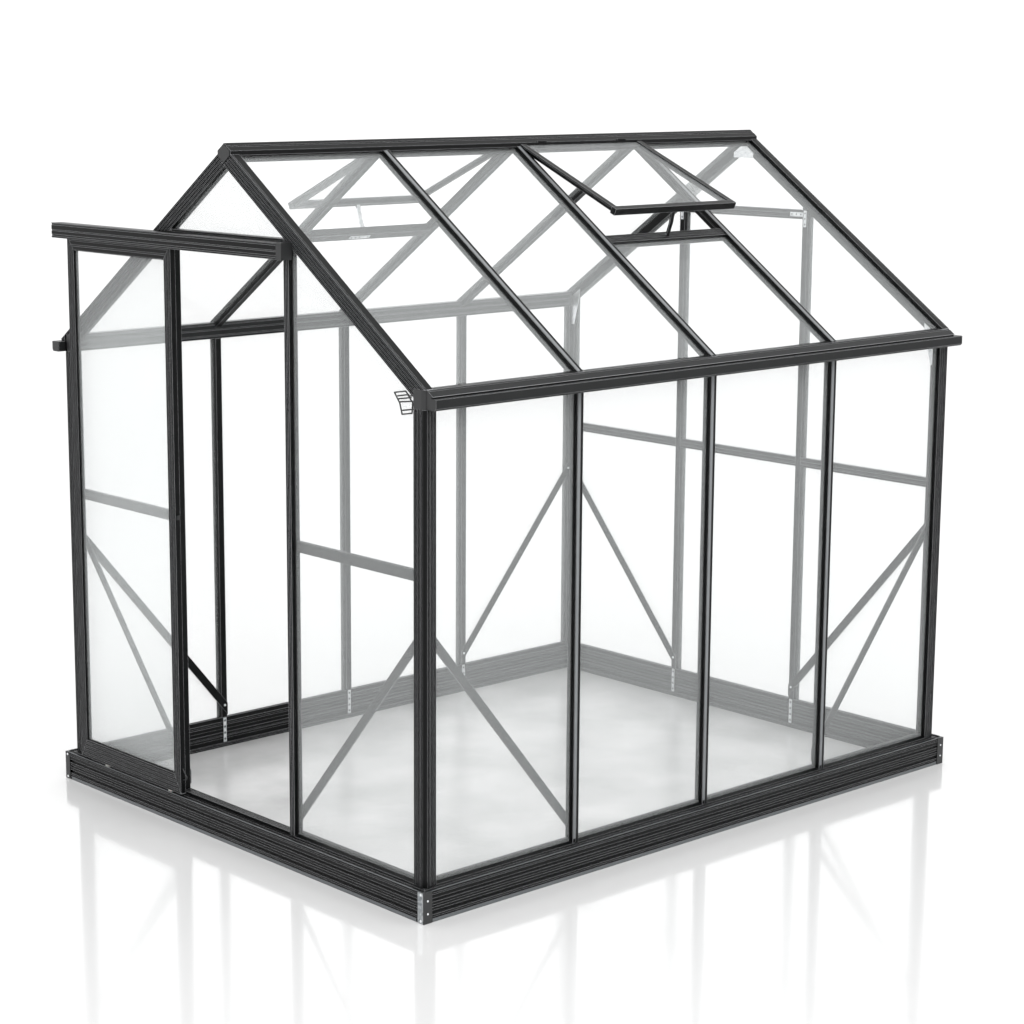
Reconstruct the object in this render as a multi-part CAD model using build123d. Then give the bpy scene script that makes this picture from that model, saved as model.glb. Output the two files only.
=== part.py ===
from build123d import *

import math
import os

# A small glass greenhouse: a gabled frame of coated aluminium bars glazed all round,
# on a ribbed plinth, with a sliding door on the front gable and two roof windows.
# Millimetres, +Z up, origin on the ground under the middle of the frame.
# The front gable faces -Y and the ridge runs along Y.

# ---------------------------------------------------------------- driving dimensions
FRAME_WIDTH = 1938        # outer face to outer face, across the gables
FRAME_LENGTH = 2508       # outer face to outer face, along the ridge
EAVE_HEIGHT = 1627        # where a roof plane meets the plane of the side below it
RIDGE_HEIGHT = 2307       # where the two roof planes meet
SIDE_PITCH = 612          # from bar to bar along the sides and the roof
STUD_PITCH = 628          # from stud to stud in the gables

FRAME_DEPTH = 34          # outer face to inner face of every bar and post
FACE_DEPTH = 16           # how far bars stand out in front of the glass
GLASS = 3                 # thickness of a pane
PLAY = 0.3                # clearance between a pane and what holds it
REBATE = 8                # how deep the edge of a pane sits in a bar

BASE_HEIGHT = 100         # plinth
BASE_LEDGE = 28           # how far the plinth stands out beyond the frame
CORNER_PLATE = 2          # thickness of the plates on the plinth's corners
CORNER_PLATE_WIDTH = 25    # on the gable
CORNER_CAP_WIDTH = 33      # on the side
CORNER_PLATE_TURN = 1     # how far the cap on a corner turns round onto the gable
CORNER_PLATE_SHORT = 1    # how far a galvanised plate stops short of the plinth's edges

SILL_HEIGHT = 17          # of the sill's inner leg, above the plinth
SILL_LIP = 9              # of its sloping outer lip
SILL_LIP_FOOT = 3         # of the upright part at the foot of the lip
SILL_LIP_TIP = 1.5        # thickness of the lip at its top
SILL_FLOOR = 4            # of its floor, on which the panes stand
SILL_RECESS = 1           # how far sills lie behind the frame's face
THRESHOLD_HEIGHT = 12     # the plain sill in the doorway
THRESHOLD_GROOVES = [(6, 10, 2), (24, 28, 2)]

POST_FRONT_LEG = 50       # width of a corner post, seen from the gable
POST_SIDE_LEG = 46        # width of a corner post, seen from the side
POST_ROUNDING = 6         # radius of its outer corner
CAP_ROUNDING = 16         # and of the cap's
FLUTE = 5                 # width of the flutes in posts, rafters and rails
FLUTE_DEPTH = 4
DOOR_FLUTE_DEPTH = 2      # of the flutes in the door's bars
BAR_WIDTH = 25
BAR_GROOVES = [(2.5, 14, 2)]   # a wide one, for the glazing strip
DOOR_POST_WIDTH = 25
RAFTER_WIDTH = 50         # of the gable rafters, seen from the gable

MID_RAIL_BOTTOM = 1043
MID_RAIL_HEIGHT = 35      # of the mid-rails and the back collar
COLLAR_DROP = 3           # from where the rafters meet the door posts to the collar's top
COLLAR_HEIGHT = 44
BACK_COLLAR_RISE = 2      # of the back collar's underside above the front one's

GUTTER_HEIGHT = 59
GUTTER_OVERHANG = 40      # how far a gutter stands out beyond the frame's side
GUTTER_FALL = 19          # from its top down to the foot of its sloping face
GUTTER_FALL_REACH = 26    # how far that foot stands out
GUTTER_TOP_GROOVES = [(26, 30, 2)]   # measured up the sloping face
GUTTER_INNER_GROOVES = [(6, 9, 2), (24, 28, 2), (46, 50, 2)]   # down its inner face
GUTTER_CHANNEL = 5        # height and depth of the channel under the sloping face
GUTTER_ARRIS = 2          # chamfer on the rim's top edge
GUTTER_CHAMFER = 6        # and on its bottom edge
GUTTER_SHORT_END = 10     # from the frame's end to the gutter's short end
GUTTER_LONG_END = 25      # how far its rim runs past the frame at the other end

RIDGE_RISE = 11           # top of the ridge bar above the roof planes' meeting line
RIDGE_WING = 34           # half width of the ridge bar
RIDGE_WING_GAP = 3        # between the panes' top edges and the wings above them
RIDGE_CORE = 16           # half width of its core
RIDGE_GROOVE = (21, 27, 2)      # in each wing, measured from its edge
RIDGE_PLATE = 3           # thickness of the plates on its ends
RIDGE_PLATE_INSET = 3     # how much smaller than the ridge bar's outline they are

BRACE_WIDTH = 30
BRACE_THICKNESS = 4
BRACE_TOP = 895           # where a brace meets the corner post, on its centre line
BRACE_FOOT_RISE = 48      # from the sill's top to where it meets the next bar
PLATE = 2                 # thickness of gussets, straps and anchor strips
GUSSET_DROP = 75          # how far an eave gusset runs down its post
GUSSET_REACH = 40         # and up its rafter
APEX_REACH = 60           # how far the apex gusset runs down each rafter
ANCHOR_WIDTH = 14
ANCHOR_BOTTOM = 20
ANCHOR_RISE = 15          # how far an anchor strip runs up past the plinth

DOOR_LAP = 9              # how far the closed door laps over each door post
DOOR_OPEN_LAP = 28        # how far the open door still reaches into the doorway
DOOR_END_GAP = 40         # at least, from the open door to the track's left end
DOOR_THICKNESS = 20
DOOR_FOOT_GAP = 8         # between the plinth and the door
DOOR_HEAD_GAP = 6         # between the door and the track's lips
DOOR_CLEARANCE = 6        # between the frame's face and the back of the door
STILE_WIDTH = 38
DOOR_TOP_RAIL = 50
DOOR_BOTTOM_RAIL = 65

TRACK_DROP = 17           # underside of the track below the collar's underside
TRACK_HEIGHT = 52
TRACK_GROOVES = [(3, 8, 2), (24, 28, 2), (40, 46, 2)]   # from its top
TRACK_DEPTH = 41
TRACK_WALL = 4
TRACK_PAST_POST = 18      # right end of the track, beyond the right door post
TRACK_SKIRT = 18          # how far its front wall hangs below its lips
TRACK_LIP = 3             # thickness of the lips that the rollers run on
TRACK_CAP = 27            # length of the cap on the right end
TRACK_CAP_LAP = 1         # how much larger the cap is than the track
TRACK_CAP_ROUNDING = 3
HANGER_INSET = 100        # from a door edge to the middle of its hanger
HANGER_WIDTH = 40
HANGER_THICKNESS = 4
HANGER_RISE = 5           # its top above the roller's axle
HANGER_CLEARANCE = 5      # from a hanger to each lip of the track
ROLLER_RADIUS = 9
ROLLER_WIDTH = 9
GUIDE_CHANNEL = 14        # channel in the ledge that guides the foot of the door
GUIDE_DEPTH = 3
GUIDE_WIDTH = 8
GUIDE_LENGTH = 20
GUIDE_SHARES = (0.25, 0.88)     # where they are along the door
LATCH_REACH = 6           # the finger pull, beyond the door's edge
LATCH_HEIGHT = 14
LATCH_INSET = 4           # from the door's faces

WINDOW_LENGTH = 513       # down the slope
WINDOW_GAP = 3            # from a bar's middle to the edge of the window that laps over it
WINDOW_OPENING = 11.5       # degrees between a window and the roof
WINDOW_PLAY = 1.5         # clearance between a window and the roof bars
WINDOW_RIDGE_GAP = 4      # from the ridge bar's wing to the window's top edge
WINDOW_FLANGE_DEPTH = 6   # of the side flanges that lap over the roof bars
WINDOW_PANE_DEPTH = 5     # from a window's outer face to its pane
WINDOW_RAIL = 22          # width of the rails
WINDOW_RAIL_DEPTH = 22
WINDOW_FOOT_DEPTH = 24    # of the bottom rail
CROSSBAR_PAST = 4         # from the closed window's foot down to the crossbar's middle
CROSSBAR_WIDTH = 36
CROSSBAR_TOP = 4          # below the roof's outer plane
CROSSBAR_DEPTH = 30
CROSSBAR_GROOVES = [(10, 14, 2), (22, 26, 2)]
STAY_WIDTH = 16
STAY_THICKNESS = 6
STAY_KNEE = 4             # how far the middle of a stay is bent out of line

# Ribs on the plinth, as shares of its height from the top, and the depth of each groove.
OUTER_GROOVES = [(0.08, 0.12, 4), (0.25, 0.36, 6), (0.46, 0.53, 4), (0.63, 0.76, 6), (0.83, 0.88, 4)]
INNER_GROOVES = [(0.08, 0.14, 3), (0.28, 0.42, 4), (0.53, 0.57, 3), (0.66, 0.84, 4), (0.89, 0.94, 3)]

# ---------------------------------------------------------------- what follows from them
HALF_WIDTH = FRAME_WIDTH / 2
HALF_LENGTH = FRAME_LENGTH / 2
BASE_WIDTH = BASE_LEDGE + FRAME_DEPTH
GLASS_OUTER = FACE_DEPTH
GLASS_INNER = FACE_DEPTH + GLASS
SLOT_OUTER = GLASS_OUTER - PLAY
SLOT_INNER = GLASS_INNER + PLAY
NECK = BAR_WIDTH / 2 - REBATE           # half width of a bar between its two slots
SLOPE = math.atan2(RIDGE_HEIGHT - EAVE_HEIGHT, HALF_WIDTH)
SLOPE_LENGTH = math.hypot(RIDGE_HEIGHT - EAVE_HEIGHT, HALF_WIDTH)
POST_TOP = EAVE_HEIGHT - GUTTER_HEIGHT
STUD_X = STUD_PITCH / 2
DOOR_POST_INNER = STUD_X - DOOR_POST_WIDTH / 2
DOOR_POST_OUTER = STUD_X + DOOR_POST_WIDTH / 2
STUD_INNER = STUD_X - BAR_WIDTH / 2
STUD_OUTER = STUD_X + BAR_WIDTH / 2
BARS_Y = [-SIDE_PITCH, 0, SIDE_PITCH]
# A roof bar's groove lies in line with the one in the side bar below it.
ROOF_BAR_GROOVES = [(BAR_WIDTH - far, BAR_WIDTH - near, depth) for near, far, depth in BAR_GROOVES]
SILL_TOP = BASE_HEIGHT + SILL_HEIGHT
BRACE_FOOT = SILL_TOP + BRACE_FOOT_RISE
ANCHOR_TOP = BASE_HEIGHT + ANCHOR_RISE
PANE_BOTTOM = BASE_HEIGHT + SILL_FLOOR + PLAY
PANE_TOP = POST_TOP + REBATE - PLAY     # of the side panes, in the gutter's slot
CORNER_X = HALF_WIDTH - POST_FRONT_LEG  # inner edge of a corner post in a gable
CORNER_Y = HALF_LENGTH - POST_SIDE_LEG  # inner edge of a corner post in a side


def rafter_line(x, depth):
    """Height of the line that lies a depth below the right roof plane, square to it."""
    return RIDGE_HEIGHT - x * math.tan(SLOPE) - depth / math.cos(SLOPE)


RIDGE_TOP = RIDGE_HEIGHT + RIDGE_RISE
RIDGE_WING_BOTTOM = rafter_line(RIDGE_CORE, GLASS_OUTER) + RIDGE_WING_GAP
RIDGE_CORE_BOTTOM = rafter_line(0, RAFTER_WIDTH - REBATE)
RAFTER_SLOT = RAFTER_WIDTH - REBATE + PLAY   # depth of a gable pane's top edge
COLLAR_TOP = rafter_line(DOOR_POST_INNER, RAFTER_WIDTH) - COLLAR_DROP
COLLAR_BOTTOM = COLLAR_TOP - COLLAR_HEIGHT
TRACK_BOTTOM = COLLAR_BOTTOM - TRACK_DROP
TRACK_LIPS = TRACK_BOTTOM + TRACK_SKIRT
ROLLER_HEIGHT = TRACK_LIPS + TRACK_LIP + PLAY + ROLLER_RADIUS
DOOR_BOTTOM = BASE_HEIGHT + DOOR_FOOT_GAP
DOOR_TOP = TRACK_LIPS - DOOR_HEAD_GAP
DOOR_WIDTH = 2 * (DOOR_POST_INNER + DOOR_LAP)
DOOR_LEFT = max(        # its left edge, with the door open but still in front of the frame
    -DOOR_POST_INNER + DOOR_OPEN_LAP - DOOR_WIDTH, -HALF_WIDTH + DOOR_END_GAP
)
DOOR_RIGHT = DOOR_LEFT + DOOR_WIDTH
TRACK_RIGHT = DOOR_POST_OUTER + TRACK_PAST_POST

UP = Vector(0, 0, 1)
FRONT, BACK = Vector(0, -1, 0), Vector(0, 1, 0)
RIGHT, LEFT = Vector(1, 0, 0), Vector(-1, 0, 0)


# ---------------------------------------------------------------- helpers
def face(outline):
    return make_face(Polyline(*outline, close=True))


def block(x, y, z, plane=Plane.XY):
    """A box between three pairs of coordinates on a plane's own axes."""
    middle = [(low + high) / 2 for low, high in (x, y, z)]
    size = [high - low for low, high in (x, y, z)]
    return plane * Pos(*middle) * Box(*size)


def left_of(shape):
    """The mirror image on the left side."""
    return mirror(shape, about=Plane.YZ)


def behind(shape):
    """The mirror image on the back gable."""
    return mirror(shape, about=Plane.XZ)


def turned(shape):
    """The shape turned half a turn about the upright axis."""
    return Rot(0, 0, 180) * shape


def both_sides(shape):
    return [shape, left_of(shape)]


def along_side(outward):
    """How far a side's outer face is from the middle, and the level direction along it."""
    distance = HALF_LENGTH if outward.X == 0 else HALF_WIDTH
    return distance, outward.cross(UP)


def level(outline, outward, low, high):
    """A level bar on one side. Its outline is in (outward from the frame's face, height)."""
    distance, along = along_side(outward)
    start = low if along.X + along.Y > 0 else high
    origin = outward * distance + Vector(abs(along.X), abs(along.Y), 0) * start
    plane = Plane(origin, x_dir=outward, z_dir=along)
    return extrude(plane * face(outline), amount=high - low, dir=along)


def upright(outline, outward, position, bottom, top):
    """An upright bar on one side. Its outline is in (along the side, outward)."""
    distance, along = along_side(outward)
    across = Vector(abs(along.X), abs(along.Y), 0)
    plane = Plane(outward * distance + across * position + UP * bottom, x_dir=along, z_dir=UP)
    return extrude(plane * face(outline), amount=top - bottom, dir=UP)


def grooved(start, end, grooves):
    """Points of an outline's edge, with grooves (from, to, depth) cut to its left."""
    length = math.dist(start, end)
    ahead = ((end[0] - start[0]) / length, (end[1] - start[1]) / length)
    points = [start]
    for near, far, depth in grooves:
        for distance, inward in ((near, 0), (near, depth), (far, depth), (far, 0)):
            points.append(
                (
                    start[0] + ahead[0] * distance - ahead[1] * inward,
                    start[1] + ahead[1] * distance + ahead[0] * inward,
                )
            )
    return points


def side_of_bar(x, sign, slot=True):
    """One side of a bar's outline from its outer face inwards, with a slot for a pane."""
    neck = x - sign * REBATE
    points = [(x, 0)]
    if slot:
        points += [(x, -SLOT_OUTER), (neck, -SLOT_OUTER), (neck, -SLOT_INNER), (x, -SLOT_INNER)]
    return points + [(x, -FRAME_DEPTH)]


def bar_outline(width, face_grooves, right_slot=True):
    """A glazing bar in (across, outward), its outer face at zero."""
    half = width / 2
    left = side_of_bar(-half, -1)
    right = side_of_bar(half, 1, right_slot)[::-1]
    return left + right[:-1] + grooved((half, 0), (-half, 0), face_grooves)


def flutes(width, count, depth=FLUTE_DEPTH):
    """Equal grooves spread evenly over a width."""
    rib = (width - count * FLUTE) / (count + 1)
    starts = [rib + i * (rib + FLUTE) for i in range(count)]
    return [(start, start + FLUTE, depth) for start in starts]


# ---------------------------------------------------------------- plinth
def base_outline():
    """A plinth bar in (outward, height), with the door's guide channel in its ledge."""
    h = BASE_HEIGHT
    upwards = [((1 - far) * h, (1 - near) * h, depth) for near, far, depth in OUTER_GROOVES[::-1]]
    downwards = [(near * h, far * h, depth) for near, far, depth in INNER_GROOVES]
    guide = BASE_LEDGE - DOOR_CLEARANCE - DOOR_THICKNESS / 2 - GUIDE_CHANNEL / 2
    return (
        grooved((BASE_LEDGE, 0), (BASE_LEDGE, BASE_HEIGHT), upwards)
        + grooved(
            (BASE_LEDGE, BASE_HEIGHT),
            (-FRAME_DEPTH, BASE_HEIGHT),
            [(guide, guide + GUIDE_CHANNEL, GUIDE_DEPTH)],
        )
        + grooved((-FRAME_DEPTH, BASE_HEIGHT), (-FRAME_DEPTH, 0), downwards)
        + [(-FRAME_DEPTH, 0)]
    )


def mitred(half_run, half_depth, outward):
    """A wedge that cuts both ends of a plinth bar at 45 degrees."""
    outline = [
        (-half_run, half_depth),
        (half_run, half_depth),
        (half_run - BASE_WIDTH, half_depth - BASE_WIDTH),
        (-half_run + BASE_WIDTH, half_depth - BASE_WIDTH),
    ]
    plane = Plane((0, 0, 0), x_dir=outward.cross(UP), z_dir=UP)
    return extrude(plane * face(outline), amount=BASE_HEIGHT)


def base_bar(outward):
    across, _ = along_side(outward)
    run = HALF_WIDTH if outward.X == 0 else HALF_LENGTH
    bar = level(base_outline(), outward, -run - BASE_LEDGE, run + BASE_LEDGE)
    return bar & mitred(run + BASE_LEDGE, across + BASE_LEDGE, outward)


def base_corner_cap():
    """The coated cap on the front right corner, wrapped round the edge."""
    x, y = HALF_WIDTH + BASE_LEDGE, HALF_LENGTH + BASE_LEDGE
    side = block((x, x + CORNER_PLATE), (-y, -y + CORNER_CAP_WIDTH), (0, BASE_HEIGHT))
    across = (x - CORNER_PLATE_TURN, x + CORNER_PLATE)
    front = block(across, (-y - CORNER_PLATE, -y), (0, BASE_HEIGHT))
    return fillet(front_arris(side + front), 0.95 * CORNER_PLATE)


def base_corner_plate():
    """The plate on the gable side of the same corner, bare or coated."""
    x, y = HALF_WIDTH + BASE_LEDGE, HALF_LENGTH + BASE_LEDGE
    right = x - CORNER_PLATE_TURN - PLAY
    height = (CORNER_PLATE_SHORT, BASE_HEIGHT - CORNER_PLATE_SHORT)
    return block((right - CORNER_PLATE_WIDTH, right), (-y - CORNER_PLATE, -y), height)


# ---------------------------------------------------------------- sills
def sill_outline():
    """A sill in (outward, height): its outer lip slopes back to the pane."""
    z = BASE_HEIGHT
    return [
        (-SILL_RECESS, z),
        (-SILL_RECESS, z + SILL_LIP_FOOT),
        (-SLOT_OUTER + SILL_LIP_TIP, z + SILL_LIP),
        (-SLOT_OUTER, z + SILL_LIP),
        (-SLOT_OUTER, z + SILL_FLOOR),
        (-SLOT_INNER, z + SILL_FLOOR),
        (-SLOT_INNER, SILL_TOP),
        (-FRAME_DEPTH, SILL_TOP),
        (-FRAME_DEPTH, z),
    ]


def threshold_outline():
    """The doorway's sill in (outward, height), with two grooves in its top."""
    bottom, top = BASE_HEIGHT, BASE_HEIGHT + THRESHOLD_HEIGHT
    tread = grooved((-SILL_RECESS, top), (-FRAME_DEPTH, top), THRESHOLD_GROOVES)
    return [(-SILL_RECESS, bottom)] + tread + [(-FRAME_DEPTH, top), (-FRAME_DEPTH, bottom)]


# ---------------------------------------------------------------- corner posts and caps
def corner_post():
    """The front right post: two fluted legs, a rounded arris and a slot in each leg."""
    x, y = HALF_WIDTH, -HALF_LENGTH
    front_flutes = flutes(POST_FRONT_LEG - POST_ROUNDING, 3)
    side_flutes = [
        (near + POST_ROUNDING, far + POST_ROUNDING, depth)
        for near, far, depth in flutes(POST_SIDE_LEG - POST_ROUNDING, 3)
    ]
    outline = grooved((CORNER_X, y), (x, y), front_flutes)
    outline += grooved((x, y), (x, -CORNER_Y), side_flutes)
    outline += [
        (x, -CORNER_Y),
        (x - SLOT_OUTER, -CORNER_Y),
        (x - SLOT_OUTER, -CORNER_Y - REBATE),
        (x - SLOT_INNER, -CORNER_Y - REBATE),
        (x - SLOT_INNER, -CORNER_Y),
        (x - FRAME_DEPTH, -CORNER_Y),
        (x - FRAME_DEPTH, y + FRAME_DEPTH),
        (CORNER_X, y + FRAME_DEPTH),
        (CORNER_X, y + SLOT_INNER),
        (CORNER_X + REBATE, y + SLOT_INNER),
        (CORNER_X + REBATE, y + SLOT_OUTER),
        (CORNER_X, y + SLOT_OUTER),
    ]
    plane = Plane((0, 0, BASE_HEIGHT))
    post = extrude(plane * face(outline), amount=POST_TOP - BASE_HEIGHT)
    return fillet(front_arris(post), POST_ROUNDING)


def front_arris(shape):
    """The upright edge of a shape that is foremost and furthest right."""
    return shape.edges().filter_by(Axis.Z).group_by(Axis.Y)[0].sort_by(Axis.X)[-1]


def corner_cap():
    """The moulded cap on the front right post, between the rafter and the gutter."""
    height = (POST_TOP, EAVE_HEIGHT)
    inner_x, inner_y = HALF_WIDTH - FRAME_DEPTH, -HALF_LENGTH + FRAME_DEPTH
    cap = block((CORNER_X, HALF_WIDTH), (-HALF_LENGTH, -CORNER_Y), height)
    cap -= block((CORNER_X, inner_x), (inner_y, -CORNER_Y), height)
    return fillet(front_arris(cap), CAP_ROUNDING)


# ---------------------------------------------------------------- gutters
def gutter_outline():
    """A gutter in (outward, height): a sloping face, a channel under it and an upright rim."""
    top, bottom, rim = EAVE_HEIGHT, POST_TOP, GUTTER_OVERHANG
    slope_foot = (GUTTER_FALL_REACH, top - GUTTER_FALL)
    channel_back = GUTTER_FALL_REACH - GUTTER_CHANNEL
    rim_top = top - GUTTER_FALL - GUTTER_CHANNEL
    foot_and_rim = [
        (-FRAME_DEPTH, bottom),
        (-SLOT_INNER, bottom),
        (-SLOT_INNER, bottom + REBATE),
        (-SLOT_OUTER, bottom + REBATE),
        (-SLOT_OUTER, bottom),
        (rim - GUTTER_CHAMFER, bottom),
        (rim, bottom + GUTTER_CHAMFER),
        (rim, rim_top - GUTTER_ARRIS),
        (rim - GUTTER_ARRIS, rim_top),
        (channel_back, rim_top),
        (channel_back, top - GUTTER_FALL),
        slope_foot,
    ]
    slope = grooved(slope_foot, (0, top), GUTTER_TOP_GROOVES)[1:]
    inner = grooved((-FRAME_DEPTH, top), (-FRAME_DEPTH, bottom), GUTTER_INNER_GROOVES)
    return foot_and_rim + slope + [(0, top)] + inner


def gutter():
    """The right gutter: it carries the roof's foot, and its channel runs outside the caps."""
    low, high = -HALF_LENGTH + GUTTER_SHORT_END, HALF_LENGTH + GUTTER_LONG_END
    bar = level(gutter_outline(), RIGHT, low, high)
    for end in (-1, 1):
        y = sorted((end * CORNER_Y, end * (HALF_LENGTH + 2 * GUTTER_LONG_END)))
        bar -= block((0, HALF_WIDTH), y, (0, RIDGE_HEIGHT))
    past_frame = (HALF_LENGTH, high)
    over_rim = (EAVE_HEIGHT - GUTTER_FALL - GUTTER_CHANNEL, EAVE_HEIGHT)
    return bar - block((0, HALF_WIDTH + GUTTER_OVERHANG), past_frame, over_rim)


# ---------------------------------------------------------------- roof
def roof_plane():
    """The right slope: x runs down it from the ridge line, y along the ridge, z outwards."""
    down = (math.cos(SLOPE), 0, -math.sin(SLOPE))
    out = (math.sin(SLOPE), 0, math.cos(SLOPE))
    return Plane((0, 0, RIDGE_HEIGHT), x_dir=down, z_dir=out)


def down_slope(outline, y):
    """A bar down the right slope, from above the ridge line. Its outline is in (y, outward)."""
    down = Vector(math.cos(SLOPE), 0, -math.sin(SLOPE))
    start = -2 * RAFTER_WIDTH
    origin = Vector(0, y, RIDGE_HEIGHT) + down * start
    plane = Plane(origin, x_dir=(0, 1, 0), z_dir=down)
    return extrude(plane * face(outline), amount=SLOPE_LENGTH - start, dir=down)


def ridge_bar():
    """Two wings over the panes' top edges, and a core between the rafters and roof bars."""
    edge_top = RIDGE_TOP - RIDGE_WING * math.tan(SLOPE)
    right_half = [
        (RIDGE_CORE, RIDGE_CORE_BOTTOM),
        (RIDGE_CORE, RIDGE_WING_BOTTOM),
        (RIDGE_WING, RIDGE_WING_BOTTOM),
    ] + grooved((RIDGE_WING, edge_top), (0, RIDGE_TOP), [RIDGE_GROOVE])
    outline = right_half + [(0, RIDGE_TOP)] + [(-x, z) for x, z in right_half[::-1]]
    plane = Plane((0, HALF_LENGTH, 0), x_dir=(1, 0, 0), z_dir=(0, -1, 0))
    return extrude(plane * face(outline), amount=FRAME_LENGTH, dir=(0, -1, 0))


def ridge_plate():
    """The five-sided plate that covers the ridge bar's front end."""
    wing = RIDGE_WING - RIDGE_PLATE_INSET
    top = RIDGE_TOP - RIDGE_PLATE_INSET
    outline = [
        (0, RIDGE_CORE_BOTTOM),
        (wing, RIDGE_WING_BOTTOM),
        (wing, top - wing * math.tan(SLOPE)),
        (0, top),
        (-wing, top - wing * math.tan(SLOPE)),
        (-wing, RIDGE_WING_BOTTOM),
    ]
    plane = Plane((0, -HALF_LENGTH, 0), x_dir=(1, 0, 0), z_dir=(0, -1, 0))
    return extrude(plane * face(outline), amount=RIDGE_PLATE, dir=(0, -1, 0))


def rafter_outline():
    """The front right rafter, in (y from the gable's face, outward)."""
    width = RAFTER_WIDTH
    front = grooved((0, 0), (0, -width), flutes(width, 4))
    top = grooved((FRAME_DEPTH, 0), (0, 0), [(FRAME_DEPTH - 8, FRAME_DEPTH - 5, 2)])
    return (
        front
        + [
            (0, -width),
            (SLOT_OUTER, -width),
            (SLOT_OUTER, -width + REBATE),
            (SLOT_INNER, -width + REBATE),
            (SLOT_INNER, -width),
            (FRAME_DEPTH, -width),
            (FRAME_DEPTH, -SLOT_INNER),
            (FRAME_DEPTH - REBATE, -SLOT_INNER),
            (FRAME_DEPTH - REBATE, -SLOT_OUTER),
            (FRAME_DEPTH, -SLOT_OUTER),
        ]
        + top
    )


def rafter(ridge):
    bar = down_slope(rafter_outline(), -HALF_LENGTH)
    bar &= block((0, HALF_WIDTH), (-HALF_LENGTH, HALF_LENGTH), (0, RIDGE_HEIGHT + RIDGE_WING))
    bar -= block((CORNER_X, HALF_WIDTH), (-HALF_LENGTH, HALF_LENGTH), (0, EAVE_HEIGHT))
    return bar - ridge


def roof_bar(y, ridge, gutter_bar):
    bar = down_slope(bar_outline(BAR_WIDTH, ROOF_BAR_GROOVES), y)
    roof = (0, RIDGE_HEIGHT + RIDGE_WING)
    bar &= block((RIDGE_CORE, HALF_WIDTH), (-HALF_LENGTH, HALF_LENGTH), roof)
    return bar - ridge - gutter_bar


# ---------------------------------------------------------------- gables
def under_rafters():
    """The space below both rafters' undersides, through the whole building."""
    outline = [
        (-HALF_WIDTH, 0),
        (HALF_WIDTH, 0),
        (HALF_WIDTH, rafter_line(HALF_WIDTH, RAFTER_WIDTH)),
        (0, rafter_line(0, RAFTER_WIDTH)),
        (-HALF_WIDTH, rafter_line(HALF_WIDTH, RAFTER_WIDTH)),
    ]
    plane = Plane((0, HALF_LENGTH, 0), x_dir=(1, 0, 0), z_dir=(0, -1, 0))
    return extrude(plane * face(outline), amount=FRAME_LENGTH, dir=(0, -1, 0))


def gable_pane(outline):
    """A pane in the front gable, from its outline in (x, z)."""
    plane = Plane((0, -HALF_LENGTH + GLASS_INNER, 0), x_dir=(1, 0, 0), z_dir=(0, -1, 0))
    return extrude(plane * face(outline), amount=GLASS, dir=(0, -1, 0))


def outer_pane(inner_x):
    """The front right pane, between a stud's slot and the corner post."""
    outer_x = CORNER_X + REBATE - PLAY
    shoulder = CORNER_X - PLAY
    return gable_pane(
        [
            (inner_x, PANE_BOTTOM),
            (outer_x, PANE_BOTTOM),
            (outer_x, POST_TOP - PLAY),
            (shoulder, POST_TOP - PLAY),
            (shoulder, rafter_line(shoulder, RAFTER_SLOT)),
            (inner_x, rafter_line(inner_x, RAFTER_SLOT)),
        ]
    )


def middle_pane(edge, bottom):
    """The pane under the apex, between two studs."""
    return gable_pane(
        [
            (-edge, bottom),
            (edge, bottom),
            (edge, rafter_line(edge, RAFTER_SLOT)),
            (0, rafter_line(0, RAFTER_SLOT)),
            (-edge, rafter_line(edge, RAFTER_SLOT)),
        ]
    )


def front_collar_outline():
    """The bar over the doorway, with a slot for the pane above it."""
    bottom, top = COLLAR_BOTTOM, COLLAR_TOP
    return grooved((0, bottom), (0, top), flutes(COLLAR_HEIGHT, 3)) + [
        (0, top),
        (-SLOT_OUTER, top),
        (-SLOT_OUTER, top - REBATE),
        (-SLOT_INNER, top - REBATE),
        (-SLOT_INNER, top),
        (-FRAME_DEPTH, top),
        (-FRAME_DEPTH, bottom),
    ]


def inner_rail_outline(bottom):
    """A rail behind the glass, in (outward, height)."""
    top = bottom + MID_RAIL_HEIGHT
    back = grooved((-FRAME_DEPTH, top), (-FRAME_DEPTH, bottom), flutes(MID_RAIL_HEIGHT, 2))
    return [(-SLOT_INNER, bottom), (-SLOT_INNER, top)] + back + [(-FRAME_DEPTH, bottom)]


# ---------------------------------------------------------------- braces and plates
def brace(outward, post_end, foot_end):
    """A flat brace on the frame's inner faces, from a corner post down to the next bar.

    The ends are coordinates along the side: of its cut at the post and of its cut at
    the bar.
    """
    distance, along = along_side(outward)
    across = Vector(abs(along.X), abs(along.Y), 0)
    toward = 1 if foot_end > post_end else -1
    inner = outward * (distance - FRAME_DEPTH)
    top = inner + across * post_end + UP * BRACE_TOP
    foot = inner + across * (foot_end - toward * BAR_WIDTH / 2) + UP * BRACE_FOOT
    direction = (foot - top).normalized()
    spare = 2 * BRACE_WIDTH
    strip = block(
        (-spare, (foot - top).length + spare),
        (-BRACE_WIDTH / 2, BRACE_WIDTH / 2),
        (-BRACE_THICKNESS, 0),
        Plane(top, x_dir=direction, z_dir=outward),
    )
    span = sorted((post_end, foot_end))
    reach = (-2 * FRAME_LENGTH, 2 * FRAME_LENGTH)
    if outward.X == 0:
        return strip & block(span, reach, (0, EAVE_HEIGHT))
    return strip & block(reach, span, (0, EAVE_HEIGHT))


# Where the braces start: clear of the post's other leg, and of each other.
BRACE_SIDE_START = HALF_LENGTH - FRAME_DEPTH - PLAY
BRACE_GABLE_START = HALF_WIDTH - FRAME_DEPTH - BRACE_THICKNESS - PLAY


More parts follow.
